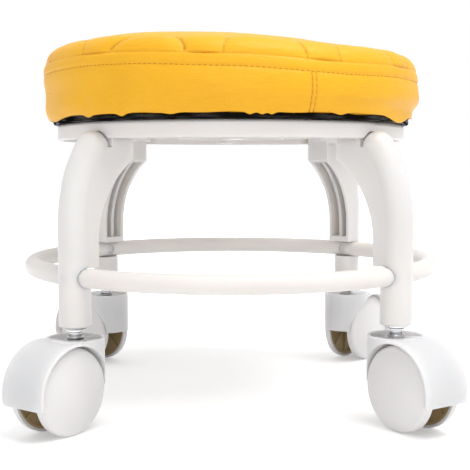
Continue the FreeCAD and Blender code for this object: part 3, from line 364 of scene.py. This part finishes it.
def cushion_outline():
    """The cushion's outline from the middle of the top, down the side and round under the board."""
    crown = np.concatenate([[0.4, 3], np.arange(8, 84, 5.5), np.arange(84.5, CROWN_RADIUS, 0.72)])
    top = np.stack([crown, crown_height(crown)], 1)
    seam, stitches, hem = (SEAM_RADIUS, SEAM_HEIGHT), (STITCH_RADIUS, STITCH_HEIGHT), (HEM_RADIUS, HEM_HEIGHT)
    shoulder = arc_points((CROWN_RADIUS, CROWN_HEIGHT), (118.8, 221.2), seam, 20, 1.35)
    band_edge = arc_points(seam, (123.1, 210.75), stitches, 14)[1:]
    side = arc_points(stitches, (124.6, 197.0), hem, 27)[1:]
    under = [(120.2, 181.8), (119.3, 181.6), (118.5, 181.9), (118.0, 182.7), (116.42, 183.2), (116.4, 181.5),
             (116.3, 179.9), (108.0, 179.85), (99.6, 179.85), (99.5, 180.7), (115.4, 180.8), (115.42, 183.0),
             (115.42, 189.95), (60.0, 190.0), (0.4, 190.0)]
    return np.concatenate([top, shoulder, band_edge, side, np.array(under)])


def up_from_seam(radius):
    """The length of cover between the edge seam and a place on the top at a distance from the middle."""
    top = outline[:np.argmax(outline[:, 0] >= SEAM_RADIUS - 0.01) + 1]
    steps = np.linalg.norm(np.diff(top, axis=0), axis=1)
    climb = np.append(np.cumsum(steps[::-1])[::-1], 0)
    return np.interp(radius, top[:, 0], climb), climb, top[:, 0]


def scallop_distance(points):
    """How far each point lies along the cover from the nearest scallop, and how deep that one is."""
    radius = np.linalg.norm(points[..., :2], axis=-1)
    turn = np.degrees(np.arctan2(points[..., 1], points[..., 0]))
    climb = np.maximum(up_from_seam(radius)[0], 0.01)
    nearest = np.full(points.shape[:-1], 99.0)
    depth = np.zeros(points.shape[:-1])
    for number, (rise, lean) in enumerate(zip(SCALLOP_RISES, SCALLOP_LEANS)):
        middle = SCALLOP_START + 360 / SCALLOP_COUNT * number
        aside = np.radians((turn - middle + 180) % 360 - 180) * radius - lean * climb
        across, upwards = np.abs(aside) / SCALLOP_HALF, climb / rise
        level = np.maximum(across**SCALLOP_ROUND + upwards**SCALLOP_ROUND, 0.001)**(1 / SCALLOP_ROUND)
        slope = np.hypot(across**(SCALLOP_ROUND - 1) / SCALLOP_HALF, upwards**(SCALLOP_ROUND - 1) / rise)
        slope = slope * level**(1 - SCALLOP_ROUND)
        apart = np.abs(level - 1) / np.maximum(slope, 0.01)
        depth = np.where(apart < nearest, SCALLOP_DEPTHS[number], depth)
        nearest = np.minimum(nearest, apart)
    return nearest, depth


def puffed(cushion_rows):
    """How far the stuffing pushes the cover out between its seams, from a cloth simulation."""
    coarse_rows = cushion_rows[:, ::6]
    coarse = bpy.data.objects.new("coarse_cover", grid_mesh("coarse_cover", coarse_rows))
    bpy.context.scene.collection.objects.link(coarse)
    fill_poles(coarse.data, *coarse_rows.shape[:2])
    remesh = coarse.modifiers.new("even", "REMESH")
    remesh.mode = "VOXEL"
    remesh.voxel_size = 0.005
    evaluated = coarse.evaluated_get(bpy.context.evaluated_depsgraph_get())
    coarse.data = bpy.data.meshes.new_from_object(evaluated)
    coarse.modifiers.clear()
    before = np.array([vertex.co for vertex in coarse.data.vertices]) / MM
    spread = np.linalg.norm(before[:, :2], axis=1)
    # The sewing holds the cover within a little more than half a voxel of its lines
    seam_hold, scallop_hold, still_middle, foam_base = 2.6, 3.0, 62, 190
    held = (before[:, 2] < foam_base) | (spread < still_middle)
    for sewn_height in (SEAM_HEIGHT, STITCH_HEIGHT):
        held |= (np.abs(before[:, 2] - sewn_height) < seam_hold) & (spread > PAST_CROWN)
    held |= (scallop_distance(before)[0] < scallop_hold) & (before[:, 2] > SEAM_HEIGHT) & (spread < 122)
    pins = coarse.vertex_groups.new(name="sewn")
    pins.add(np.flatnonzero(held).tolist(), 1.0, "REPLACE")
    cloth = coarse.modifiers.new("cover", "CLOTH")
    cloth.settings.quality = 6
    cloth.settings.mass = 0.02
    cloth.settings.tension_stiffness = 4.0
    cloth.settings.compression_stiffness = 4.0
    cloth.settings.shear_stiffness = 1.5
    cloth.settings.use_pressure = True
    cloth.settings.uniform_pressure_force = 36.0
    cloth.settings.vertex_group_mass = "sewn"
    cloth.settings.effector_weights.gravity = 0
    last_step = 20
    cloth.point_cache.frame_start = 1
    cloth.point_cache.frame_end = last_step
    for step in range(1, last_step + 1):
        bpy.context.scene.frame_set(step)
    evaluated = coarse.evaluated_get(bpy.context.evaluated_depsgraph_get())
    relaxed = bpy.data.meshes.new_from_object(evaluated)
    after = np.array([vertex.co for vertex in relaxed.vertices]) / MM
    bpy.context.scene.frame_set(1)
    bpy.data.objects.remove(coarse)
    moved = after - before
    length = np.linalg.norm(moved, axis=1, keepdims=True)
    most_swell = 1.6
    moved *= np.minimum(1.0, most_swell / np.maximum(length, 1e-6))
    tree = kdtree.KDTree(len(before))
    for number, point in enumerate(before):
        tree.insert(point, number)
    tree.balance()
    push = np.zeros_like(cushion_rows)
    for row, ring in enumerate(cushion_rows):
        for turn, point in enumerate(ring):
            near = tree.find_n(point, 5)
            weights = np.array([1 / (away + 0.5)**2 for _, _, away in near])
            push[row, turn] = weights @ moved[[number for _, number, _ in near]] / weights.sum()
    return push


def fill_poles(mesh, count_rows, count_turns):
    """Closes the small round holes in the middle of the top and of the underside."""
    points = [tuple(vertex.co) for vertex in mesh.vertices]
    faces = [tuple(face.vertices) for face in mesh.polygons]
    faces.append(tuple(range(count_turns)))
    faces.append(tuple(reversed(range((count_rows - 1) * count_turns, count_rows * count_turns))))
    mesh.clear_geometry()
    mesh.from_pydata(points, [], faces)


near_joint = np.arange(JOINT_TURNS[0] - 1.5, JOINT_TURNS[1] + 1.5, 0.15)
degrees = np.linspace(0, 360, 690, endpoint=False)
clear_of_joint = (degrees < near_joint[0] - 0.2) | (degrees > near_joint[-1] + 0.2)
degrees = np.sort(np.concatenate([degrees[clear_of_joint], near_joint]))
angles = np.radians(degrees)
TURNS = len(angles)
outline = cushion_outline()
along = np.gradient(outline, axis=0)
along /= np.linalg.norm(along, axis=1, keepdims=True)
out_r, out_z = -along[:, 1], along[:, 0]
around = np.stack([np.cos(angles), np.sin(angles)], 1)
cushion_rows = np.stack([
    outline[:, None, 0] * around[None, :, 0],
    outline[:, None, 0] * around[None, :, 1],
    np.repeat(outline[:, None, 1], TURNS, 1),
], 2)
outwards = np.stack([
    out_r[:, None] * around[None, :, 0],
    out_r[:, None] * around[None, :, 1],
    np.repeat(out_z[:, None], TURNS, 1),
], 2)
row_radius = outline[:, 0][:, None]
row_height = outline[:, 1][:, None]
on_top = row_height > SEAM_HEIGHT - 0.2
past_crown = row_radius > PAST_CROWN
on_side = (row_height > SIDE_LOW) * (row_radius > LINING_RADIUS) * 1.0
push = puffed(cushion_rows)
cover_share = np.clip((row_height - 184.5) / 6, 0, 1) * (row_height > 189)
cover_share = cover_share * np.where(row_height > STITCH_HEIGHT, 1.0, 0.3)
rows = cushion_rows + push * cover_share[..., None]

# Sewn scallops, the edge seam, the stitched groove below it and the upright joint draw the cover in
from_scallop, scallop_depth = scallop_distance(cushion_rows)
sewn_top = on_top * np.clip((row_height - SEAM_HEIGHT) / 1.5, 0, 1) * scallop_depth
fade = 0.65 + 0.35 * np.clip((19 - up_from_seam(outline[:, 0])[0]) / 10, 0, 1)[:, None]
channel = (0.9 * np.exp(-(from_scallop / 0.8)**2) + 1.1 * np.exp(-(from_scallop / 5.0)**2)) * sewn_top * fade
scallop_step = 360 / SCALLOP_COUNT
from_gap = (degrees - SCALLOP_START) % scallop_step - scallop_step / 2
between_scallops = np.exp(-(from_gap / 6.0)**2)
seam_line = np.exp(-((row_height - SEAM_HEIGHT) / 0.5)**2) * past_crown
seam = (0.3 + 0.8 * between_scallops) * seam_line
groove = 0.4 * np.exp(-((row_height - STITCH_HEIGHT) / 0.8)**2) * past_crown
gather = waves(angles, ((71, 0.09, 0.0), (97, 0.06, 1.3), (53, 0.08, 2.1)))[None, :]
gather = gather * np.exp(-((row_height - STITCH_HEIGHT) / 2.6)**2) * past_crown
band_share = np.clip((STITCH_HEIGHT - row_height) / 1.2, 0, 1) * on_side
joint_lines = [np.exp(-((degrees - turn) * DEGREE_LENGTH / width)**2)[None, :] * band_share
               for turn, width in zip(JOINT_TURNS, JOINT_WIDTHS)]
joint = 0.6 * joint_lines[0] + 0.4 * joint_lines[1]
uneven = waves(angles, ((5, 0.35, 0.6), (9, 0.25, 2.0), (14, 0.16, 1.0)))[None, :]
uneven = uneven * np.exp(-((row_height - 196.0) / 7.0)**2) * on_side
rows -= outwards * (channel + seam + groove + gather + joint + uneven)[..., None]

# The side is pressed flatter on the left and the right, but stays clear of the lining
leftwards = np.clip(-np.cos(angles), 0, 1)[None, :]**1.5
rightwards = np.clip(np.cos(angles), 0, 1)[None, :]**1.5
flat = 3.0 * leftwards * np.exp(-((row_height - 196) / 8)**2)
flat = flat + rightwards * (np.exp(-((row_height - 199) / 9)**2) + 2.6 * np.exp(-((row_height - 186) / 5)**2))
rows -= outwards * (flat * on_side * (row_height < SEAM_HEIGHT))[..., None]
spread = np.linalg.norm(rows[..., :2], axis=-1)
least_spread = 117.8 + 0.1 * (row_height - SIDE_LOW)
kept_out = np.where(on_side * (row_height < 188) > 0, np.maximum(spread, least_spread), spread)
rows[..., :2] *= (kept_out / np.maximum(spread, 0.01))[..., None]

# Painted shade: where the leather is folded into a seam or the joint, its colour is made deeper, for the
# shade that falls in these creases
crease_shade = np.exp(-(from_scallop / 0.65)**2) * sewn_top * fade
seam_crease_shade = (0.12 + 0.55 * between_scallops) * np.exp(-((row_height - SEAM_HEIGHT) / 0.45)**2) * past_crown
crease_shade = np.maximum(crease_shade, seam_crease_shade)
crease_shade = np.maximum(crease_shade, np.maximum(0.7 * joint_lines[0], 0.4 * joint_lines[1]))

# The hem is pulled down harder at its staples, which leaves a wavy lower edge and soft folds above it.
# Each pull has its place round the seat in degrees, its depth in millimetres and its width in degrees.
pulls = (
    (203, 2.6, 7.0), (224, 1.4, 1.5), (236.8, 1.6, 1.5), (251.8, 0.8, 1.8), (273, 1.3, 1.1),
    (276.3, 1.3, 1.0), (278.9, 1.4, 1.0), (299.4, 1.2, 2.0), (327, 5.0, 7.5), (345, 1.4, 4.0),
    (12, 1.2, 4.0), (38, 1.5, 3.0), (62, 1.0, 5.0), (85, 1.3, 2.0), (110, 1.5, 3.0), (131, 1.1, 4.0),
    (158, 1.4, 2.0), (180, 1.2, 5.0),
)
pull = np.zeros(TURNS)
for at, depth, width in pulls:
    apart = (degrees - at + 180) % 360 - 180
    pull += depth * np.exp(-(apart / width)**2)
pull += waves(angles, ((13, 0.2, 0.3), (29, 0.15, 1.2)))
low_share = np.exp(-np.clip(row_height - HEM_HEIGHT, 0, None) / 3.0) * on_side
fold_share = np.exp(-((row_height - 188.0) / 5.0)**2) * on_side
rows[..., 2] -= (pull[None, :] - 0.4) * low_share
rows -= outwards * (0.3 * pull[None, :] * fold_share)[..., None]

# The stuffing stands higher on the left of the photo than on the right
across = np.arange(-130, 131, 2.0)
places = (-125, -80, -50, -20, 0, 40, 65, 90, 125)
rises = (2.4, 2.7, 1.6, 0.0, -0.3, -2.6, -3.4, -2.4, -2.2)
stuffing = np.interp(across, places, rises)
kernel = np.exp(-(np.arange(-10, 11) / 5.0)**2)
stuffing = np.convolve(np.pad(stuffing, 10, mode="edge"), kernel / kernel.sum(), mode="valid")
rise_share = np.clip((row_height - 186) / 18, 0, 1) * (row_height > 190.5)
rise_share = rise_share**2 * (3 - 2 * rise_share)
rows[..., 2] += np.interp(rows[..., 0], across, stuffing) * rise_share

cushion_mesh = grid_mesh("cushion", rows)
fill_poles(cushion_mesh, len(rows), TURNS)
# The painted crease shade is stored on the mesh, for the leather's colour to read
crease_shade_attribute = cushion_mesh.attributes.new("crease_shade", "FLOAT", "POINT")
crease_shade_attribute.data.foreach_set("value", crease_shade.astype(np.float32).ravel())


def yellow_leather():
    """Pebbled synthetic leather with fine pores, soft creases and a painted shade that deepens its colour in
    its folds.
    """
    material, tree, shader = finish_material("yellow_leather", 0.46)
    shader.inputs["Specular IOR Level"].default_value = 0.26
    place = add_node(tree, "ShaderNodeTexCoord", (-1200, 0))
    pebble = add_node(tree, "ShaderNodeTexVoronoi", (-900, -200), {"Scale": 780}, feature="SMOOTH_F1")
    pores = add_node(tree, "ShaderNodeTexNoise", (-900, -450), {"Scale": 2100, "Detail": 3})
    cloud = add_node(tree, "ShaderNodeTexNoise", (-900, 200), {"Scale": 22, "Detail": 4})
    spread = add_node(tree, "ShaderNodeMapRange", (-650, 200), {"From Min": 0.3, "From Max": 0.72})
    tint = add_node(tree, "ShaderNodeMix", (-400, 200),
                    {"A": (0.95, 0.495, 0.022, 1), "B": (0.91, 0.450, 0.015, 1)}, data_type="RGBA")
    # Painted shade: this mesh attribute mixes a deeper orange into the leather along the seams and the joint
    sewn = add_node(tree, "ShaderNodeAttribute", (-400, 400), attribute_name="crease_shade")
    shade = add_node(tree, "ShaderNodeMath", (-200, 400), {1: 0.6}, operation="MULTIPLY")
    crease_shaded = add_node(tree, "ShaderNodeMix", (-150, 200), {"B": (0.52, 0.21, 0.012, 1)}, data_type="RGBA")
    gloss = add_node(tree, "ShaderNodeMapRange", (-400, 0), {"To Min": 0.38, "To Max": 0.56})
    height = add_node(tree, "ShaderNodeMath", (-650, -300), {1: 0.4}, operation="MULTIPLY_ADD")
    bump = add_node(tree, "ShaderNodeBump", (-400, -300), {"Strength": 0.5, "Distance": 0.00022})
    wrinkle_way = add_node(tree, "ShaderNodeMapping", (-1150, -650), {"Scale": (55, 55, 330)})
    wrinkles = add_node(tree, "ShaderNodeTexNoise", (-900, -650),
                        {"Scale": 1.0, "Detail": 4, "Distortion": 1.2})
    patches = add_node(tree, "ShaderNodeMath", (-650, -550), operation="MULTIPLY")
    creases = add_node(tree, "ShaderNodeBump", (-200, -450), {"Strength": 0.6, "Distance": 0.0014})
    for texture in (pebble, pores, cloud):
        wire(tree, (place, "Object", texture, "Vector"))
    wire(tree,
         (sewn, "Fac", shade, 0),
         (shade, "Value", crease_shaded, "Factor"),
         (tint, "Result", crease_shaded, "A"),
         (place, "Object", wrinkle_way, "Vector"),
         (wrinkle_way, "Vector", wrinkles, "Vector"),
         (wrinkles, "Fac", patches, 0),
         (spread, "Result", patches, 1),
         (patches, "Value", creases, "Height"),
         (creases, "Normal", bump, "Normal"),
         (cloud, "Fac", spread, "Value"),
         (spread, "Result", tint, "Factor"),
         (pebble, "Distance", gloss, "Value"),
         (pores, "Fac", height, 0),
         (pebble, "Distance", height, 2),
         (height, "Value", bump, "Height"),
         (crease_shaded, "Result", shader, "Base Color"),
         (gloss, "Result", shader, "Roughness"),
         (bump, "Normal", shader, "Normal"))
    return material


leather = yellow_leather()
cushion = place_mesh("cushion", cushion_mesh, leather)
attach(cushion, "stool_frame")
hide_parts("seat_cover", "seat_foam")

# Stitches: a twisted orange thread, sewn through the cover in short lengths that sink into the leather.
# One row follows the edge of the top, one each scallop, and two the upright joint where the side band meets.


def stitch_tree():
    """Short lengths of thread laid along a line."""
    tree = bpy.data.node_groups.new("stitch_line", "GeometryNodeTree")
    tree.interface.new_socket("Line", in_out="INPUT", socket_type="NodeSocketGeometry")
    for size in ("Pitch", "Length", "Thickness"):
        tree.interface.new_socket(size, in_out="INPUT", socket_type="NodeSocketFloat")
    tree.interface.new_socket("Thread", in_out="INPUT", socket_type="NodeSocketMaterial")
    tree.interface.new_socket("Stitches", in_out="OUTPUT", socket_type="NodeSocketGeometry")
    source = add_node(tree, "NodeGroupInput", (-900, 0))
    line = add_node(tree, "GeometryNodeMeshToCurve", (-700, 200))
    points = add_node(tree, "GeometryNodeCurveToPoints", (-500, 200), mode="LENGTH")
    turn = add_node(tree, "FunctionNodeAlignRotationToVector", (-300, 0), axis="Z")
    bead = add_node(tree, "GeometryNodeMeshUVSphere", (-700, -200),
                    {"Segments": 7, "Rings": 5, "Radius": 0.5})
    size = add_node(tree, "ShaderNodeCombineXYZ", (-700, -400))
    stitch = add_node(tree, "GeometryNodeTransform", (-400, -300))
    laid = add_node(tree, "GeometryNodeInstanceOnPoints", (-100, 100))
    solid = add_node(tree, "GeometryNodeRealizeInstances", (100, 100))
    smooth = add_node(tree, "GeometryNodeSetShadeSmooth", (250, 100))
    coloured = add_node(tree, "GeometryNodeSetMaterial", (400, 100))
    result = add_node(tree, "NodeGroupOutput", (600, 100))
    wire(
        tree,
        (source, "Line", line, "Mesh"),
        (line, "Curve", points, "Curve"),
        (source, "Pitch", points, "Length"),
        (points, "Tangent", turn, "Vector"),
        (source, "Thickness", size, "X"),
        (source, "Thickness", size, "Y"),
        (source, "Length", size, "Z"),
        (bead, "Mesh", stitch, "Geometry"),
        (size, "Vector", stitch, "Scale"),
        (points, "Points", laid, "Points"),
        (turn, "Rotation", laid, "Rotation"),
        (stitch, "Geometry", laid, "Instance"),
        (laid, "Instances", solid, "Geometry"),
        (solid, "Geometry", smooth, "Geometry"),
        (smooth, "Geometry", coloured, "Geometry"),
        (source, "Thread", coloured, "Material"),
        (coloured, "Geometry", result, "Stitches"),
    )
    return tree


stitch_line = stitch_tree()


def sew(name, lines, thread, pitch, length, thickness):
    """Stitches along lines of points in millimetres; a line that ends where it starts goes right round."""
    points, edges = [], []
    for line in lines:
        first = len(points)
        points += [tuple(point * MM) for point in line]
        edges += [(number, number + 1) for number in range(first, len(points) - 1)]
    mesh = bpy.data.meshes.new(name)
    mesh.from_pydata(points, edges, [])
    piece = bpy.data.objects.new(name, mesh)
    bpy.context.scene.collection.objects.link(piece)
    modifier = piece.modifiers.new("sewing", "NODES")
    modifier.node_group = stitch_line
    sizes = {"Pitch": pitch * MM, "Length": length * MM, "Thickness": thickness * MM, "Thread": thread}
    for socket in stitch_line.interface.items_tree:
        if socket.in_out == "INPUT" and socket.name in sizes:
            modifier[socket.identifier] = sizes[socket.name]
    evaluated = piece.evaluated_get(bpy.context.evaluated_depsgraph_get())
    piece.data = bpy.data.meshes.new_from_object(evaluated)
    piece.modifiers.clear()
    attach(piece, "stool_frame")
    return piece


def on_cover(row, turn):
    """A point of the finished cover at a row and an angle that may lie between those of its mesh."""
    turn = np.interp(turn % 360, np.append(degrees, degrees[0] + 360), np.arange(TURNS + 1))
    low_row, low_turn = int(math.floor(row)), int(math.floor(turn))
    row_part, turn_part = row - low_row, turn - low_turn
    before, after = low_turn % TURNS, (low_turn + 1) % TURNS
    mixed = [(1 - turn_part) * rows[number, before] + turn_part * rows[number, after]
             for number in (low_row, low_row + 1)]
    return (1 - row_part) * mixed[0] + row_part * mixed[1]


def scallop_line(number):
    """The line of a scallop over the finished cover, from the edge seam up, round and down again."""
    middle = SCALLOP_START + 360 / SCALLOP_COUNT * number
    _, climbs, radii = up_from_seam(0)
    line = []
    for swing in np.linspace(0.06, math.pi - 0.06, 40):
        climb = SCALLOP_RISES[number] * abs(math.sin(swing))**(2 / SCALLOP_ROUND)
        radius = np.interp(climb, climbs[::-1], radii[::-1])
        aside = math.copysign(SCALLOP_HALF * abs(math.cos(swing))**(2 / SCALLOP_ROUND), math.cos(swing))
        aside += SCALLOP_LEANS[number] * climb
        row = np.interp(radius, radii, np.arange(len(radii)))
        line.append(on_cover(row, middle + math.degrees(aside / radius)))
    return line


def row_at(height, least_radius):
    """The row of the cover's outer face that lies nearest a height."""
    return int(np.argmin(np.abs(outline[:, 1] - height) + 99 * (outline[:, 0] < least_radius)))


def sewing_thread():
    """Rust-coloured thread, lighter and darker along its twist; its dark rust is partly its own colour and
    partly painted shade of the stitch holes.
    """
    material, tree, shader = finish_material("sewing_thread", 0.6)
    shader.inputs["Specular IOR Level"].default_value = 0.15
    place = add_node(tree, "ShaderNodeTexCoord", (-800, 0))
    twist = add_node(tree, "ShaderNodeTexNoise", (-600, 0), {"Scale": 3200})
    # The darker rust of both colours is partly painted shade of the holes the stitches sink into
    tint = add_node(tree, "ShaderNodeMix", (-300, 0),
                    {"A": (0.64, 0.28, 0.03, 1), "B": (0.45, 0.175, 0.018, 1)}, data_type="RGBA")
    wire(tree,
         (place, "Object", twist, "Vector"),
         (twist, "Fac", tint, "Factor"),
         (tint, "Result", shader, "Base Color"))
    return material


thread = sewing_thread()
stitch_row = row_at(STITCH_HEIGHT, 115)
edge_line = [on_cover(stitch_row, turn) for turn in np.linspace(0, 360, 721)]
sew("edge_stitches", [edge_line], thread, pitch=3.2, length=2.2, thickness=0.5)
scallop_lines = [scallop_line(number) for number in range(SCALLOP_COUNT)]
sew("scallop_stitches", scallop_lines, thread, pitch=3.4, length=2.0, thickness=0.32)
joint_rows = np.arange(stitch_row + 1, row_at(HEM_HEIGHT, 120), 0.5)
joint_seams = [[on_cover(row, turn) for row in joint_rows] for turn in JOINT_TURNS]
sew("joint_stitches", joint_seams, thread, pitch=3.4, length=2.2, thickness=0.36)

# Photo set-up: a plain white paper floor that runs out of sight, and soft light from all round.
# A large lamp hangs above right, a weaker one stands in front, and the camera has the photo's place.
scene = bpy.context.scene
scene.view_settings.view_transform = "Standard"


def background_rays(tree):
    """A node that gives 1 for the rays that show the white background: of the camera, mirrors and glass."""
    ray = add_node(tree, "ShaderNodeLightPath", (-900, 400))
    mirrored = add_node(tree, "ShaderNodeMath", (-700, 400), operation="MAXIMUM")
    any_of_them = add_node(tree, "ShaderNodeMath", (-500, 400), operation="MAXIMUM")
    wire(tree,
         (ray, "Is Camera Ray", mirrored, 0),
         (ray, "Is Glossy Ray", mirrored, 1),
         (mirrored, "Value", any_of_them, 0),
         (ray, "Is Transmission Ray", any_of_them, 1))
    return any_of_them


def white_floor():
    """Plain white paper, which glows a little, and more with the distance, so that it runs out white."""
    material, tree, shader = finish_material("white_floor", 0.8)
    shader.inputs["Base Color"].default_value = (0.92, 0.92, 0.92, 1)
    shader.inputs["Specular IOR Level"].default_value = 0.1
    place = add_node(tree, "ShaderNodeTexCoord", (-900, 100))
    away = add_node(tree, "ShaderNodeVectorMath", (-700, 100), operation="LENGTH")
    far = add_node(tree, "ShaderNodeMapRange", (-500, 100),
                   {"From Min": 0.28, "From Max": 0.9, "To Min": 0.32, "To Max": 1.0},
                   interpolation_type="SMOOTHSTEP")
    seen = add_node(tree, "ShaderNodeMath", (-250, 300), operation="MULTIPLY")
    glow = add_node(tree, "ShaderNodeEmission", (-100, 300))
    both = add_node(tree, "ShaderNodeAddShader", (200, 200))
    wire(tree,
         (place, "Object", away, 0),
         (away, "Value", far, "Value"),
         (background_rays(tree), "Value", seen, 0),
         (far, "Result", seen, 1),
         (seen, "Value", glow, "Strength"),
         (shader, "BSDF", both, 0),
         (glow, "Emission", both, 1),
         (both, "Shader", tree.nodes["Material Output"], "Surface"))
    return material


FLOOR_REACH = 6.0
floor_mesh = bpy.data.meshes.new("floor")
floor_mesh.from_pydata([(-FLOOR_REACH, -FLOOR_REACH, 0), (FLOOR_REACH, -FLOOR_REACH, 0),
                        (FLOOR_REACH, FLOOR_REACH, 0), (-FLOOR_REACH, FLOOR_REACH, 0)], [], [(0, 1, 2, 3)])
floor = place_mesh("floor", floor_mesh, white_floor())

world = bpy.data.worlds.new("studio")
scene.world = world
world.use_nodes = True
sky_tree = world.node_tree
sky = sky_tree.nodes["Background"]
sky.inputs["Color"].default_value = (1, 1, 1, 1)
facing = add_node(sky_tree, "ShaderNodeTexCoord", (-1100, -200))
height = add_node(sky_tree, "ShaderNodeSeparateXYZ", (-900, -200))
shade = add_node(sky_tree, "ShaderNodeMapRange", (-700, -200), {"To Min": 0.5, "To Max": 0.79})
level = add_node(sky_tree, "ShaderNodeMix", (-400, 0), {"B": 1.0})
wire(sky_tree,
     (facing, "Generated", height, "Vector"),
     (height, "Z", shade, "Value"),
     (background_rays(sky_tree), "Value", level, "Factor"),
     (shade, "Result", level, "A"),
     (level, "Result", sky, "Strength"))


def soft_lamp(name, place, aim, size, power):
    """A round area lamp turned towards the stool."""
    lamp = bpy.data.lights.new(name, "AREA")
    lamp.shape = "DISK"
    lamp.size = size
    lamp.energy = power
    lamp_object = bpy.data.objects.new(name, lamp)
    lamp_object.location = place
    lamp_object.rotation_euler = (Vector(aim) - Vector(place)).to_track_quat("-Z", "Y").to_euler()
    scene.collection.objects.link(lamp_object)


soft_lamp("key_lamp", (0.55, -0.45, 1.8), (0, 0, 0.2), size=1.2, power=19.5)
soft_lamp("fill_lamp", (-0.15, -1.7, 0.25), (0, 0.1, 0.12), size=1.2, power=4.9)

# Fitted to the photo: the focal length and the photo's width are in pixels, the turns in degrees
FOCAL_LENGTH, PHOTO_WIDTH = 959.4, 470
PITCH, YAW = -4.27, -2.253
camera = bpy.data.cameras.new("photo_camera")
camera.sensor_width = 36.0
camera.lens = FOCAL_LENGTH / PHOTO_WIDTH * camera.sensor_width
photo_camera = bpy.data.objects.new("photo_camera", camera)
photo_camera.location = (-0.0228, -0.6485, 0.1539)
photo_camera.rotation_euler = (math.radians(90 + PITCH), 0, math.radians(YAW))
scene.collection.objects.link(photo_camera)
scene.camera = photo_camera
